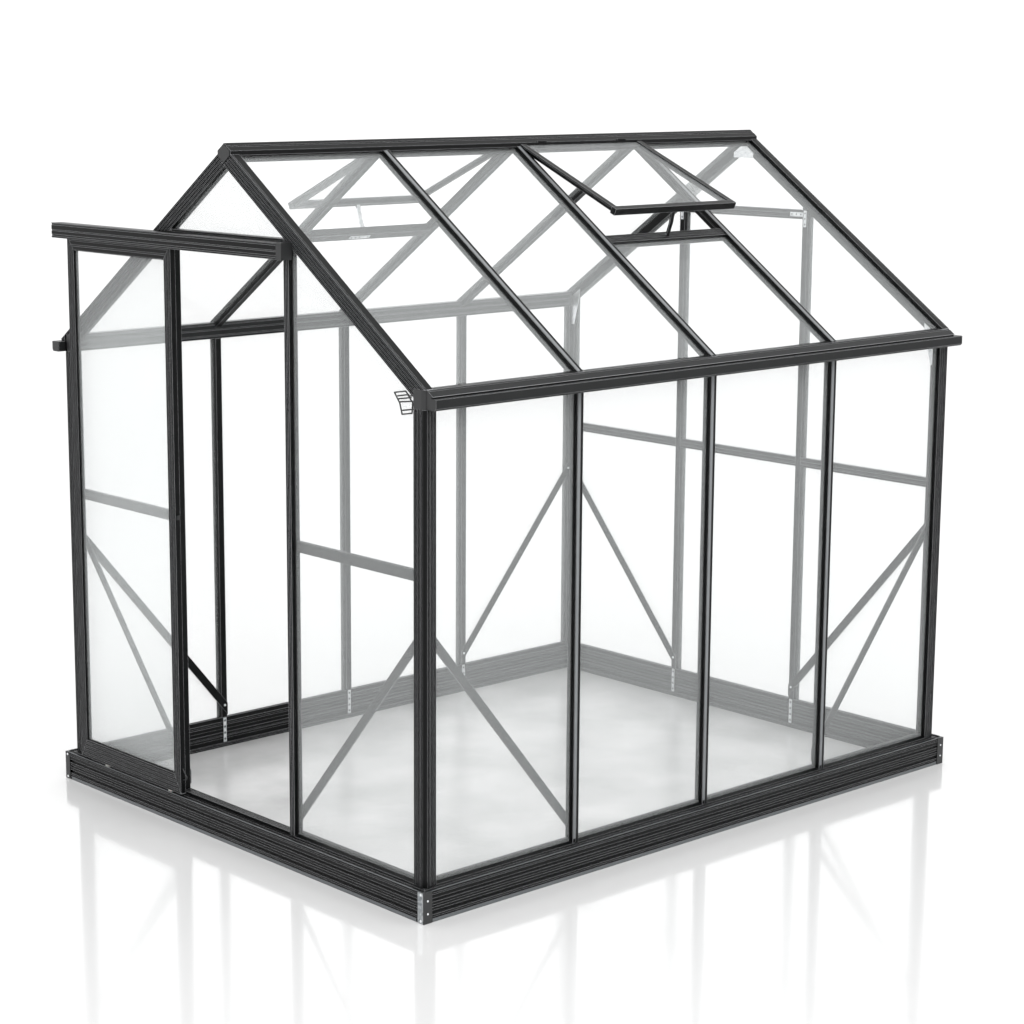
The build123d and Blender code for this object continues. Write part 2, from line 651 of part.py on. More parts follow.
def anchor(outward, position):
    """A strip that ties the foot of a bar to the plinth's inner face."""
    distance, along = along_side(outward)
    across = Vector(abs(along.X), abs(along.Y), 0)
    inner = outward * (distance - FRAME_DEPTH)
    plane = Plane(inner + across * position, x_dir=along, z_dir=UP)
    half = ANCHOR_WIDTH / 2
    return block((-half, half), (-PLATE, 0), (ANCHOR_BOTTOM, ANCHOR_TOP), plane)


def eave_gusset():
    """A plate on the inside of the front right corner, from the post to the rafter."""
    inner_x = HALF_WIDTH - FRAME_DEPTH
    below = POST_TOP - GUSSET_DROP
    along = CORNER_X - GUSSET_REACH * math.cos(SLOPE)
    outline = [
        (inner_x - PLAY, below),
        (inner_x - PLAY, rafter_line(inner_x, FRAME_DEPTH)),
        (along, rafter_line(along, FRAME_DEPTH)),
        (along, rafter_line(along, RAFTER_WIDTH)),
        (CORNER_X, below),
    ]
    plane = Plane((0, -HALF_LENGTH + FRAME_DEPTH, 0), x_dir=(1, 0, 0), z_dir=(0, -1, 0))
    return extrude(plane * face(outline), amount=PLATE, dir=(0, 1, 0))


def apex_gusset():
    """A plate on the inside of the front rafters where they meet."""
    reach = APEX_REACH * math.cos(SLOPE)
    under = RIDGE_CORE_BOTTOM - PLAY
    outline = [
        (-reach, rafter_line(reach, RAFTER_WIDTH)),
        (reach, rafter_line(reach, RAFTER_WIDTH)),
        (reach, rafter_line(reach, FRAME_DEPTH)),
        (RIDGE_CORE, rafter_line(RIDGE_CORE, FRAME_DEPTH)),
        (RIDGE_CORE, under),
        (-RIDGE_CORE, under),
        (-RIDGE_CORE, rafter_line(RIDGE_CORE, FRAME_DEPTH)),
        (-reach, rafter_line(reach, FRAME_DEPTH)),
    ]
    plane = Plane((0, -HALF_LENGTH + FRAME_DEPTH, 0), x_dir=(1, 0, 0), z_dir=(0, -1, 0))
    return extrude(plane * face(outline), amount=PLATE, dir=(0, 1, 0))


# ---------------------------------------------------------------- side and roof panes
def side_panes():
    """The four panes of the right side."""
    edges = [-CORNER_Y - REBATE + PLAY]
    for y in BARS_Y:
        edges += [y - NECK - PLAY, y + NECK + PLAY]
    edges.append(CORNER_Y + REBATE - PLAY)
    depth = (HALF_WIDTH - GLASS_INNER, HALF_WIDTH - GLASS_OUTER)
    caps = []
    for end in (-1, 1):
        y = sorted((end * (CORNER_Y - PLAY), end * HALF_LENGTH))
        caps.append(block(depth, y, (POST_TOP - PLAY, PANE_TOP)))
    return [
        block(depth, (low, high), (PANE_BOTTOM, PANE_TOP)) - caps
        for low, high in zip(edges[::2], edges[1::2])
    ]


def roof_panes():
    """The four panes of the right slope. The third stops at the window's crossbar."""
    start = (RIDGE_CORE + PLAY + GLASS_INNER * math.sin(SLOPE)) / math.cos(SLOPE)
    drop = RIDGE_HEIGHT - EAVE_HEIGHT - PLAY - GLASS_INNER * math.cos(SLOPE)
    end = drop / math.sin(SLOPE)
    below_crossbar = CROSSBAR_DOWN + CROSSBAR_WIDTH / 2 - REBATE + PLAY
    outer_edge = HALF_LENGTH - FRAME_DEPTH + REBATE - PLAY
    edges = [-outer_edge]
    for y in BARS_Y:
        edges += [y - NECK - PLAY, y + NECK + PLAY]
    edges.append(outer_edge)
    starts = [start, start, below_crossbar, start]
    return [
        block((top, end), (low, high), (-GLASS_INNER, -GLASS_OUTER), roof_plane())
        for top, low, high in zip(starts, edges[::2], edges[1::2])
    ]


# ---------------------------------------------------------------- roof windows
WINDOW_WIDTH = SIDE_PITCH - 2 * WINDOW_GAP      # along the ridge
WINDOW_FLANGE = BAR_WIDTH / 2 - WINDOW_GAP + WINDOW_PLAY
WINDOW_TILT = SLOPE - math.radians(WINDOW_OPENING)
WINDOW_HINGE_X = RIDGE_WING + WINDOW_RIDGE_GAP
WINDOW_HINGE_Z = (
    rafter_line(WINDOW_HINGE_X, 0) + WINDOW_FLANGE_DEPTH / math.cos(WINDOW_TILT) + WINDOW_PLAY
)
CROSSBAR_DOWN = WINDOW_HINGE_X / math.cos(SLOPE) + WINDOW_LENGTH + CROSSBAR_PAST
WINDOW_PANE = (-WINDOW_PANE_DEPTH - GLASS, -WINDOW_PANE_DEPTH)


def window_plane():
    """The right window: x runs down it from its hinge, y along the ridge, z outwards."""
    down = (math.cos(WINDOW_TILT), 0, -math.sin(WINDOW_TILT))
    out = (math.sin(WINDOW_TILT), 0, math.cos(WINDOW_TILT))
    return Plane((WINDOW_HINGE_X, WINDOW_GAP, WINDOW_HINGE_Z), x_dir=down, z_dir=out)


def window_rails():
    """Two side rails with flanges over the roof bars, a top rail under the pane, and a foot."""
    plane = window_plane()
    slot = (WINDOW_PANE[0] - PLAY, WINDOW_PANE[1] + PLAY)
    foot = WINDOW_LENGTH - WINDOW_RAIL
    edge = WINDOW_WIDTH - WINDOW_RAIL
    side_rails = []
    for inner, outer, leg in (
        (WINDOW_RAIL, 0, WINDOW_FLANGE),
        (edge, WINDOW_WIDTH, WINDOW_WIDTH - WINDOW_FLANGE),
    ):
        rail = block((0, foot), sorted((leg, inner)), (-WINDOW_RAIL_DEPTH, 0), plane)
        rail += block((0, foot), sorted((outer, leg)), (-WINDOW_FLANGE_DEPTH, 0), plane)
        groove_end = inner + math.copysign(REBATE, outer - inner)
        rail -= block((0, foot), sorted((inner, groove_end)), slot, plane)
        side_rails.append(rail)
    under_pane = (-WINDOW_RAIL_DEPTH, slot[0])
    top_rail = block((0, WINDOW_RAIL), (WINDOW_RAIL, edge), under_pane, plane)
    foot_rail = block((foot, WINDOW_LENGTH), (0, WINDOW_WIDTH), (-WINDOW_FOOT_DEPTH, 0), plane)
    in_slot = (WINDOW_RAIL - REBATE, edge + REBATE)
    foot_rail -= block((foot, foot + REBATE), in_slot, slot, plane)
    return side_rails, [top_rail, foot_rail]


def window_pane():
    inner = WINDOW_RAIL - REBATE + PLAY
    return block(
        (PLAY, WINDOW_LENGTH - inner),
        (inner, WINDOW_WIDTH - inner),
        WINDOW_PANE,
        window_plane(),
    )


def crossbar():
    """The bar across the bay at the foot of the window's opening."""
    half = CROSSBAR_WIDTH / 2
    near, far = BAR_WIDTH / 2, SIDE_PITCH - BAR_WIDTH / 2
    plane = roof_plane()
    middle = CROSSBAR_DOWN
    depth = (-CROSSBAR_TOP - CROSSBAR_DEPTH, -CROSSBAR_TOP)
    bar = block((middle - half, middle + half), (near, far), depth, plane)
    slot = (-SLOT_INNER, -SLOT_OUTER)
    bar -= block((middle + half - REBATE, middle + half), (near, far), slot, plane)
    top_edge = middle - half
    for start, end, groove in CROSSBAR_GROOVES:
        across = (top_edge + start, top_edge + end)
        bar -= block(across, (near, far), (-CROSSBAR_TOP - groove, -CROSSBAR_TOP), plane)
    return bar


def stay():
    """The bent strut that holds the window open, from the crossbar to the foot rail."""
    roof, window = roof_plane(), window_plane()
    foot = roof.from_local_coords(Vector(CROSSBAR_DOWN, 0, -CROSSBAR_TOP))
    head = window.from_local_coords(
        Vector(WINDOW_LENGTH - WINDOW_RAIL / 2, 0, -WINDOW_FOOT_DEPTH)
    )
    knee = Vector(foot.X + (head.X - foot.X) / 2 + STAY_KNEE, 0, (foot.Z + head.Z) / 2)
    half = STAY_THICKNESS / 2
    outline = [
        (foot.X - half, foot.Z - STAY_THICKNESS),
        (foot.X + half, foot.Z - STAY_THICKNESS),
        (knee.X + half, knee.Z),
        (head.X + half, head.Z + STAY_THICKNESS),
        (head.X - half, head.Z + STAY_THICKNESS),
        (knee.X - half, knee.Z),
    ]
    middle = SIDE_PITCH / 2
    plane = Plane((0, middle + STAY_WIDTH / 2, 0), x_dir=(1, 0, 0), z_dir=(0, -1, 0))
    return extrude(plane * face(outline), amount=STAY_WIDTH, dir=(0, -1, 0))


# ---------------------------------------------------------------- door and its track
DOOR_BACK = -HALF_LENGTH - DOOR_CLEARANCE
DOOR_FRONT = DOOR_BACK - DOOR_THICKNESS
DOOR_MIDDLE_Y = (DOOR_BACK + DOOR_FRONT) / 2
DOOR_SLOT = (DOOR_MIDDLE_Y - GLASS / 2 - PLAY, DOOR_MIDDLE_Y + GLASS / 2 + PLAY)
STILE_GROOVES = flutes(STILE_WIDTH, 2, DOOR_FLUTE_DEPTH)
TOP_RAIL_GROOVES = flutes(DOOR_TOP_RAIL, 2, DOOR_FLUTE_DEPTH)
FOOT_GROOVES = flutes(DOOR_BOTTOM_RAIL, 4, DOOR_FLUTE_DEPTH)


def door_mitre(outline):
    """A slab as thick as the door, from its outline in (x, z)."""
    plane = Plane((0, DOOR_BACK, 0), x_dir=(1, 0, 0), z_dir=(0, -1, 0))
    return extrude(plane * face(outline), amount=DOOR_THICKNESS, dir=(0, -1, 0))


def stile():
    """The door's left stile, mitred to both rails, with a slot for the pane."""
    left, right = DOOR_LEFT, DOOR_LEFT + STILE_WIDTH
    outline = grooved((left, DOOR_FRONT), (right, DOOR_FRONT), STILE_GROOVES) + [
        (right, DOOR_FRONT),
        (right, DOOR_SLOT[0]),
        (right - REBATE, DOOR_SLOT[0]),
        (right - REBATE, DOOR_SLOT[1]),
        (right, DOOR_SLOT[1]),
        (right, DOOR_BACK),
        (left, DOOR_BACK),
    ]
    plane = Plane((0, 0, DOOR_BOTTOM))
    bar = extrude(plane * face(outline), amount=DOOR_TOP - DOOR_BOTTOM)
    ends = [
        (left, DOOR_BOTTOM),
        (right, DOOR_BOTTOM + DOOR_BOTTOM_RAIL),
        (right, DOOR_TOP - DOOR_TOP_RAIL),
        (left, DOOR_TOP),
    ]
    return bar & door_mitre(ends)


def door_rail(outer, inner, grooves):
    """The door's rail between two heights, mitred to both stiles, with a slot for the pane."""
    bottom, top = sorted((outer, inner))
    slot_end = inner + math.copysign(REBATE, outer - inner)
    x = (DOOR_LEFT, DOOR_RIGHT)
    rail = block(x, (DOOR_FRONT, DOOR_BACK), (bottom, top))
    rail -= block(x, DOOR_SLOT, sorted((inner, slot_end)))
    for near, far, depth in grooves:
        rail -= block(x, (DOOR_FRONT, DOOR_FRONT + depth), (bottom + near, bottom + far))
    ends = [
        (DOOR_LEFT, outer),
        (DOOR_RIGHT, outer),
        (DOOR_RIGHT - STILE_WIDTH, inner),
        (DOOR_LEFT + STILE_WIDTH, inner),
    ]
    return rail & door_mitre(ends)


def door_pane():
    inset = STILE_WIDTH - REBATE + PLAY
    return block(
        (DOOR_LEFT + inset, DOOR_RIGHT - inset),
        (DOOR_SLOT[0] + PLAY, DOOR_SLOT[1] - PLAY),
        (DOOR_BOTTOM + DOOR_BOTTOM_RAIL - REBATE + PLAY, DOOR_TOP - DOOR_TOP_RAIL + REBATE - PLAY),
    )


TRACK_BACK = -HALF_LENGTH
TRACK_FRONT = TRACK_BACK - TRACK_DEPTH
TRACK_TOP = TRACK_BOTTOM + TRACK_HEIGHT
LIP_BACK = DOOR_MIDDLE_Y + HANGER_THICKNESS / 2 + HANGER_CLEARANCE
LIP_FRONT = DOOR_MIDDLE_Y - HANGER_THICKNESS / 2 - HANGER_CLEARANCE


def track():
    """The channel over the doorway, open below, in which the door's rollers run.

    Its front wall hangs down past the lips and hides the door's head.
    """
    inner_front, inner_back = TRACK_FRONT + TRACK_WALL, TRACK_BACK - TRACK_WALL
    lips, floor = TRACK_LIPS, TRACK_LIPS + TRACK_LIP
    outline = grooved((TRACK_FRONT, TRACK_TOP), (TRACK_FRONT, TRACK_BOTTOM), TRACK_GROOVES) + [
        (TRACK_FRONT, TRACK_BOTTOM),
        (inner_front, TRACK_BOTTOM),
        (inner_front, lips),
        (LIP_FRONT, lips),
        (LIP_FRONT, floor),
        (inner_front, floor),
        (inner_front, TRACK_TOP - TRACK_WALL),
        (inner_back, TRACK_TOP - TRACK_WALL),
        (inner_back, floor),
        (LIP_BACK, floor),
        (LIP_BACK, lips),
        (TRACK_BACK, lips),
        (TRACK_BACK, TRACK_TOP),
    ]
    plane = Plane((-HALF_WIDTH, 0, 0), x_dir=(0, 1, 0), z_dir=(1, 0, 0))
    length = TRACK_RIGHT - TRACK_CAP + HALF_WIDTH
    return extrude(plane * face(outline), amount=length, dir=(1, 0, 0))


def track_cap():
    """The moulded cap that closes the track's right end."""
    cap = block(
        (TRACK_RIGHT - TRACK_CAP, TRACK_RIGHT),
        (TRACK_FRONT - TRACK_CAP_LAP, TRACK_BACK),
        (TRACK_BOTTOM - TRACK_CAP_LAP, TRACK_TOP + TRACK_CAP_LAP),
    )
    outer = cap.edges().filter_by(Axis.X).group_by(Axis.Y)[0]
    return fillet(outer, TRACK_CAP_ROUNDING)


def hangers():
    """The plates on the door's top rail that carry the rollers."""
    plates = []
    for x in (DOOR_LEFT + HANGER_INSET, DOOR_RIGHT - HANGER_INSET):
        half = HANGER_WIDTH / 2
        y = (DOOR_MIDDLE_Y - HANGER_THICKNESS / 2, DOOR_MIDDLE_Y + HANGER_THICKNESS / 2)
        plates.append(block((x - half, x + half), y, (DOOR_TOP, ROLLER_HEIGHT + HANGER_RISE)))
    return plates


def rollers():
    """The rollers behind the hangers, which run on the track's back lip."""
    wheels = []
    for x in (DOOR_LEFT + HANGER_INSET, DOOR_RIGHT - HANGER_INSET):
        front = DOOR_MIDDLE_Y + HANGER_THICKNESS / 2
        plane = Plane((x, front, ROLLER_HEIGHT), x_dir=(1, 0, 0), z_dir=(0, 1, 0))
        wheels.append(extrude(plane * Circle(ROLLER_RADIUS), amount=ROLLER_WIDTH, dir=(0, 1, 0)))
    return wheels


def door_guides():
    """The pads under the door, which run in the channel of the ledge."""
    pads = []
    for share in GUIDE_SHARES:
        x = DOOR_LEFT + DOOR_WIDTH * share
        y = (DOOR_MIDDLE_Y - GUIDE_WIDTH / 2, DOOR_MIDDLE_Y + GUIDE_WIDTH / 2)
        foot = BASE_HEIGHT - GUIDE_DEPTH + PLAY
        pads.append(block((x - GUIDE_LENGTH / 2, x + GUIDE_LENGTH / 2), y, (foot, DOOR_BOTTOM)))
    return pads


def door_latch():
    """The small finger pull on the edge of the right stile, just below the mid-rails' top."""
    top = MID_RAIL_BOTTOM + MID_RAIL_HEIGHT
    thickness = (DOOR_FRONT + LATCH_INSET, DOOR_BACK - LATCH_INSET)
    return block((DOOR_RIGHT, DOOR_RIGHT + LATCH_REACH), thickness, (top - LATCH_HEIGHT, top))


# ---------------------------------------------------------------- assembly
nodes = {}


def add(name, *shapes):
    """Keep the solids of some shapes as one named node."""
    nodes[name] = [solid for shape in shapes for solid in shape.solids()]


def round_the_corners(shape):
    """The front right shape and its images on the other three corners."""
    return both_sides(shape) + both_sides(behind(shape))


# The plinth and what stands on it
for name, outward in (("front", FRONT), ("back", BACK), ("left", LEFT), ("right", RIGHT)):
    add("base_" + name, base_bar(outward))
coated_plates = [left_of(base_corner_plate()), behind(base_corner_plate())]
add("base_corner_caps", *round_the_corners(base_corner_cap()), *coated_plates)
add("base_corner_plates", base_corner_plate(), turned(base_corner_plate()))

sill_right = level(sill_outline(), RIGHT, -CORNER_Y, CORNER_Y)
sill_back = level(sill_outline(), BACK, -CORNER_X, CORNER_X)
add("sills_sides", *both_sides(sill_right))
add("sill_back", sill_back)
add("sills_front", *both_sides(level(sill_outline(), FRONT, DOOR_POST_OUTER, CORNER_X)))
add("door_threshold", level(threshold_outline(), FRONT, -DOOR_POST_INNER, DOOR_POST_INNER))

# The uprights
headroom = under_rafters()
add("corner_posts", *round_the_corners(corner_post()))
add("corner_caps", *round_the_corners(corner_cap()))
door_post_outline = bar_outline(DOOR_POST_WIDTH, flutes(DOOR_POST_WIDTH, 3), right_slot=False)
door_post = upright(door_post_outline, FRONT, STUD_X, BASE_HEIGHT, RIDGE_HEIGHT) & headroom
add("door_posts", *both_sides(door_post))
bar = bar_outline(BAR_WIDTH, BAR_GROOVES)
back_stud = upright(bar, BACK, STUD_X, BASE_HEIGHT, RIDGE_HEIGHT) & headroom
add("back_studs", *both_sides(back_stud - sill_back))
side_bars = [upright(bar, RIGHT, y, BASE_HEIGHT, POST_TOP) - sill_right for y in BARS_Y]
add("side_bars_right", *side_bars)
add("side_bars_left", *[turned(side_bar) for side_bar in side_bars])

# The roof
ridge = ridge_bar()
gutter_right = gutter()
rafter_right = rafter(ridge)
add("ridge_bar", ridge)
add("ridge_plates", ridge_plate(), behind(ridge_plate()))
add("gutters", gutter_right, turned(gutter_right))
add("rafters_right", rafter_right, behind(rafter_right))
add("rafters_left", left_of(rafter_right), turned(rafter_right))
roof_bars = [roof_bar(y, ridge, gutter_right) for y in BARS_Y]
add("roof_bars_right", *roof_bars)
add("roof_bars_left", *[turned(roof_bar) for roof_bar in roof_bars])

# Rails, braces and plates
collar_rail = inner_rail_outline(COLLAR_BOTTOM + BACK_COLLAR_RISE)
mid_rail = inner_rail_outline(MID_RAIL_BOTTOM)
add("front_collar", level(front_collar_outline(), FRONT, -DOOR_POST_INNER, DOOR_POST_INNER))
add("back_collar", level(collar_rail, BACK, -STUD_INNER, STUD_INNER))
add("mid_rails_front", *both_sides(level(mid_rail, FRONT, DOOR_POST_OUTER, CORNER_X)))
back_mid_rail = level(mid_rail, BACK, STUD_OUTER, CORNER_X)
add("mid_rails_back", level(mid_rail, BACK, -STUD_INNER, STUD_INNER), *both_sides(back_mid_rail))
side_brace = brace(RIGHT, -BRACE_SIDE_START, -SIDE_PITCH + BAR_WIDTH / 2)
add("braces_sides", *round_the_corners(side_brace))
front_brace = brace(FRONT, BRACE_GABLE_START, DOOR_POST_INNER)
back_brace = brace(BACK, BRACE_GABLE_START, STUD_INNER)
add("braces_gables", *both_sides(front_brace), *both_sides(back_brace))
add("gussets", *both_sides(behind(eave_gusset())), behind(apex_gusset()))
side_anchors = [anchor(RIGHT, y) for y in BARS_Y]
add(
    "anchor_strips",
    *side_anchors,
    *[turned(strip) for strip in side_anchors],
    *both_sides(anchor(BACK, STUD_X)),
    *both_sides(anchor(FRONT, STUD_X)),
)

# The glass
front_pane = outer_pane(DOOR_POST_OUTER - REBATE + PLAY)
back_pane = behind(outer_pane(STUD_X + NECK + PLAY))
door_head_pane = middle_pane(DOOR_POST_INNER - PLAY, COLLAR_TOP - REBATE + PLAY)
add("glass_front", door_head_pane, *both_sides(front_pane))
back_middle = behind(middle_pane(STUD_X - NECK - PLAY, PANE_BOTTOM))
add("glass_back", back_middle, *both_sides(back_pane))
add("glass_right", *side_panes())
add("glass_left", *[turned(pane) for pane in side_panes()])
add("glass_roof_right", *roof_panes())
add("glass_roof_left", *[turned(pane) for pane in roof_panes()])

# The roof windows, fixed open
side_rails, cross_rails = window_rails()
window_crossbar = crossbar()
window_stay = stay() - window_crossbar - cross_rails[1]
add("window_side_rails", *side_rails, *[turned(rail) for rail in side_rails])
add("window_cross_rails", *cross_rails, *[turned(rail) for rail in cross_rails])
add("window_glass", window_pane(), turned(window_pane()))
add("window_crossbars", window_crossbar, turned(window_crossbar))
add("window_stay_right", window_stay)
add("window_stay_left", turned(window_stay))

# The track and the sliding door, open
add("door_track", track())
add("track_cap", track_cap())
left_stile = stile()
door_middle = Plane.YZ.offset((DOOR_LEFT + DOOR_RIGHT) / 2)
add("door_stiles", left_stile, mirror(left_stile, about=door_middle))
add("door_top_rail", door_rail(DOOR_TOP, DOOR_TOP - DOOR_TOP_RAIL, TOP_RAIL_GROOVES))
foot_rail_top = DOOR_BOTTOM + DOOR_BOTTOM_RAIL
add("door_bottom_rail", door_rail(DOOR_BOTTOM, foot_rail_top, FOOT_GROOVES))
add("door_glass", door_pane())
add("door_hangers", *hangers())
add("door_rollers", *rollers())
add("door_guides", *door_guides())
add("door_latch", door_latch())

# ---------------------------------------------------------------- one STEP per node
os.makedirs("parts", exist_ok=True)
for name, solids in nodes.items():
    shape = solids[0] if len(solids) == 1 else Compound(children=solids)
    export_step(shape, f"parts/{name}.step")
    print(name, len(solids), round(sum(solid.volume for solid in solids)))
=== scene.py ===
# %% [markdown]
# # A glass greenhouse
# A gabled frame of black coated aluminium bars, glazed all round, on a ribbed plinth, with a
# sliding door on its front gable and two open roof windows. The bars, panes and plates come
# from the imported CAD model. This script adds the small fittings, gives every part its finish,
# and sets up a pale studio. Everything is in metres, +Z up, with the front gable facing -Y.

import math

import bmesh
import bpy
from mathutils import Matrix, Vector


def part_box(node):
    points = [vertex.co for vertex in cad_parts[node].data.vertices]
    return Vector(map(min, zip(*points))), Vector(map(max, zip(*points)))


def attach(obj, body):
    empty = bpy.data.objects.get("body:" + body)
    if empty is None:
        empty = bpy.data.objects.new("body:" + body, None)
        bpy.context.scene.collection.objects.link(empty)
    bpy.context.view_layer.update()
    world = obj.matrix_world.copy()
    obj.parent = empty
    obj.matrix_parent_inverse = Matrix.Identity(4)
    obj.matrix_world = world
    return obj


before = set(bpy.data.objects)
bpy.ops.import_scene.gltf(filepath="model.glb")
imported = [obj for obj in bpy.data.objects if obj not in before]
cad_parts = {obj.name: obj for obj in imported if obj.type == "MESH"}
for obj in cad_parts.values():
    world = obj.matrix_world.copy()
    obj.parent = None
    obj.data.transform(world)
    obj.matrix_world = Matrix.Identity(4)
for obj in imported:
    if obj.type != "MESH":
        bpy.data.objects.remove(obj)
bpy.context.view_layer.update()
MM = 0.001

# %% [markdown]
# ## The camera
# A long lens stands a little higher than the ridge and looks down at the near corner, between
# the front gable and the right side. A greenhouse is drawn this way in a catalogue, because
# both the door and the long side show. The lens is shifted a little sideways, which moves the
# building to the middle of the picture without turning the camera.

# %% Camera
CAMERA_PLACE = Vector((6.079, -5.690, 2.551))
CAMERA_AZIMUTH, CAMERA_ELEVATION = math.radians(48.9), math.radians(10.75)

camera = bpy.data.objects.new("camera", bpy.data.cameras.new("camera"))
bpy.context.scene.collection.objects.link(camera)
camera.data.sensor_width = 36
camera.data.lens = 82.2
camera.data.shift_x = 0.08
camera.data.clip_end = 200
back = Vector(
    (
        math.sin(CAMERA_AZIMUTH) * math.cos(CAMERA_ELEVATION),
        -math.cos(CAMERA_AZIMUTH) * math.cos(CAMERA_ELEVATION),
        math.sin(CAMERA_ELEVATION),
    )
)
camera.location = CAMERA_PLACE
camera.rotation_mode = "QUATERNION"
camera.rotation_quaternion = (-back).to_track_quat("-Z", "Y")
bpy.context.scene.camera = camera
print("camera", [round(v, 3) for v in camera.location])


# %% [markdown]
# ## Colours and nodes
# Colours are easiest to choose as sRGB hex values, as a paint chart gives them, while
# Blender mixes light in linear values. One function turns the first into the second.
# Another adds a node to a material, sets it up and links it, so that each finish below
# reads as a short list of what it is made of.

# %% Helpers for finishes
def colour(hex_value, alpha=1.0):
    """An sRGB hex colour as linear red, green, blue and alpha."""
    channels = [int(hex_value[i : i + 2], 16) / 255 for i in (1, 3, 5)]
    linear = [c / 12.92 if c <= 0.04045 else ((c + 0.055) / 1.055) ** 2.4 for c in channels]
    return (*linear, alpha)


def add_node(material, kind, inputs, **settings):
    """A new node with its settings; an input is a value, or a socket to link it to."""
    made = material.node_tree.nodes.new(kind)
    for name, value in settings.items():
        setattr(made, name, value)
    for name, value in inputs.items():
        if isinstance(value, bpy.types.NodeSocket):
            material.node_tree.links.new(value, made.inputs[name])
        else:
            made.inputs[name].default_value = value
    return made


def new_finish(name):
    """An empty material, the place that its patterns are read from, and its shader."""
    material = bpy.data.materials.new(name)
    material.use_nodes = True
    shader = material.node_tree.nodes["Principled BSDF"]
    place = material.node_tree.nodes.new("ShaderNodeTexCoord").outputs["Object"]
    return material, place, shader


def connect(material, socket, shader, name):
    """Links a socket to one of the shader's own inputs."""
    material.node_tree.links.new(socket, shader.inputs[name])


def per_metre(size_mm):
    """The scale of a texture whose features are about a size in millimetres."""
    return 1000 / size_mm


# %% [markdown]
# ## Black powder coat on extruded aluminium
# The bars are drawn through a die as long ribbed lengths, sprayed with black polyester
# powder and baked. That leaves a satin film with a slight orange peel. The real peel is about
# 0.5 mm across, too fine to show here, so it is drawn at 3 mm. A broader, weaker pattern
# varies the sheen along a bar, as the film's thickness does. Two more things draw the ribs.
# Their arrises are painted paler, a painted highlight: the Bevel node rounds the normal near an
# edge, and how far that turns it says how near the edge is. The grooves between the ribs are
# painted near black, a painted shade where Ambient Occlusion finds them hemmed in. The gutters
# get a greyer copy of the coat, a painted sheen that makes their faces read paler, so the coat
# is made twice.

# %% Painted highlights on the arrises and painted shade in the grooves
ARRIS_RADIUS = 2.5 * MM
ARRIS_STARTS, ARRIS_FULL = 0.99, 0.85   # cosines of how far the rounded normal has turned
# how far an arris is painted towards the pale highlight grey, at most
ARRIS_HIGHLIGHT = 0.9
GROOVE_REACH = 8 * MM
GROOVE_DARK, GROOVE_CLEAR = 0.35, 0.85  # shares of the sky that a point sees


def painted_rib_light(film, tone):
    """The film's tone, with a painted highlight along the arrises and painted shade, near black, in
    the grooves.
    """
    flat_way = film.node_tree.nodes.new("ShaderNodeNewGeometry").outputs["Normal"]
    rounded = add_node(film, "ShaderNodeBevel", {"Radius": ARRIS_RADIUS}, samples=4)
    turned = add_node(
        film,
        "ShaderNodeVectorMath",
        {0: flat_way, 1: rounded.outputs["Normal"]},
        operation="DOT_PRODUCT",
    )
    arris = add_node(
        film,
        "ShaderNodeMapRange",
        {
            "Value": turned.outputs["Value"],
            "From Min": ARRIS_STARTS,
            "From Max": ARRIS_FULL,
            "To Max": ARRIS_HIGHLIGHT,
        },
    )
    # The pale grey is a painted highlight along each arris.
    highlit = add_node(
        film,
        "ShaderNodeMix",
        {"Factor": arris.outputs["Result"], 6: tone, 7: colour("#a2a3a5")},
        data_type="RGBA",
    )
    walls = add_node(film, "ShaderNodeAmbientOcclusion", {"Distance": GROOVE_REACH}, samples=6)
    clear = add_node(
        film,
        "ShaderNodeMapRange",
        {"Value": walls.outputs["AO"], "From Min": GROOVE_DARK, "From Max": GROOVE_CLEAR},
    )
    # The near black is painted shade in the grooves.
    shade = add_node(
        film,
        "ShaderNodeMix",
        {"Factor": clear.outputs["Result"], 6: colour("#010101"), 7: highlit.outputs[2]},
        data_type="RGBA",
    )
    return shade.outputs[2]


# %% Powder coat
def powder_coat(name, dark, light):
    """A satin film that varies between two greys near black."""
    film, place, shader = new_finish(name)
    peel = add_node(
        film, "ShaderNodeTexNoise", {"Vector": place, "Scale": per_metre(3), "Detail": 3}
    )
    cloud = add_node(
        film, "ShaderNodeTexNoise", {"Vector": place, "Scale": per_metre(90), "Detail": 4}
    )
    sheen = add_node(
        film, "ShaderNodeMapRange", {"Value": cloud.outputs["Fac"], "To Min": 0.3, "To Max": 0.42}
    )
    tone = add_node(
        film,
        "ShaderNodeMix",
        {"Factor": cloud.outputs["Fac"], 6: colour(dark), 7: colour(light)},
        data_type="RGBA",
    )
    bump = add_node(film, "ShaderNodeBump", {"Height": peel.outputs["Fac"], "Distance": 0.1 * MM})
    connect(film, sheen.outputs["Result"], shader, "Roughness")
    connect(film, bump.outputs["Normal"], shader, "Normal")
    connect(film, painted_rib_light(film, tone.outputs[2]), shader, "Base Color")
    shader.inputs["IOR"].default_value = 1.5
    shader.inputs["Specular IOR Level"].default_value = 0.14
    return film


coat = powder_coat("black_polyester_powder_coat", "#050606", "#0b0c0d")
# The gutters' copy is greyer: a painted sheen that makes their faces read paler.
paler_sheen_coat = powder_coat("sheen_painted_powder_coat", "#1e1f20", "#282929")
print(coat.name, paler_sheen_coat.name)

# %% [markdown]
# ## Black moulded plastic
# The caps on the corners, the track's end and the ridge's ends are moulded in ABS with
# pigment through and through. A mould with a fine spark-eroded grain gives them a duller,
# slightly greyer black than the bars. The grain is drawn at 2 mm.

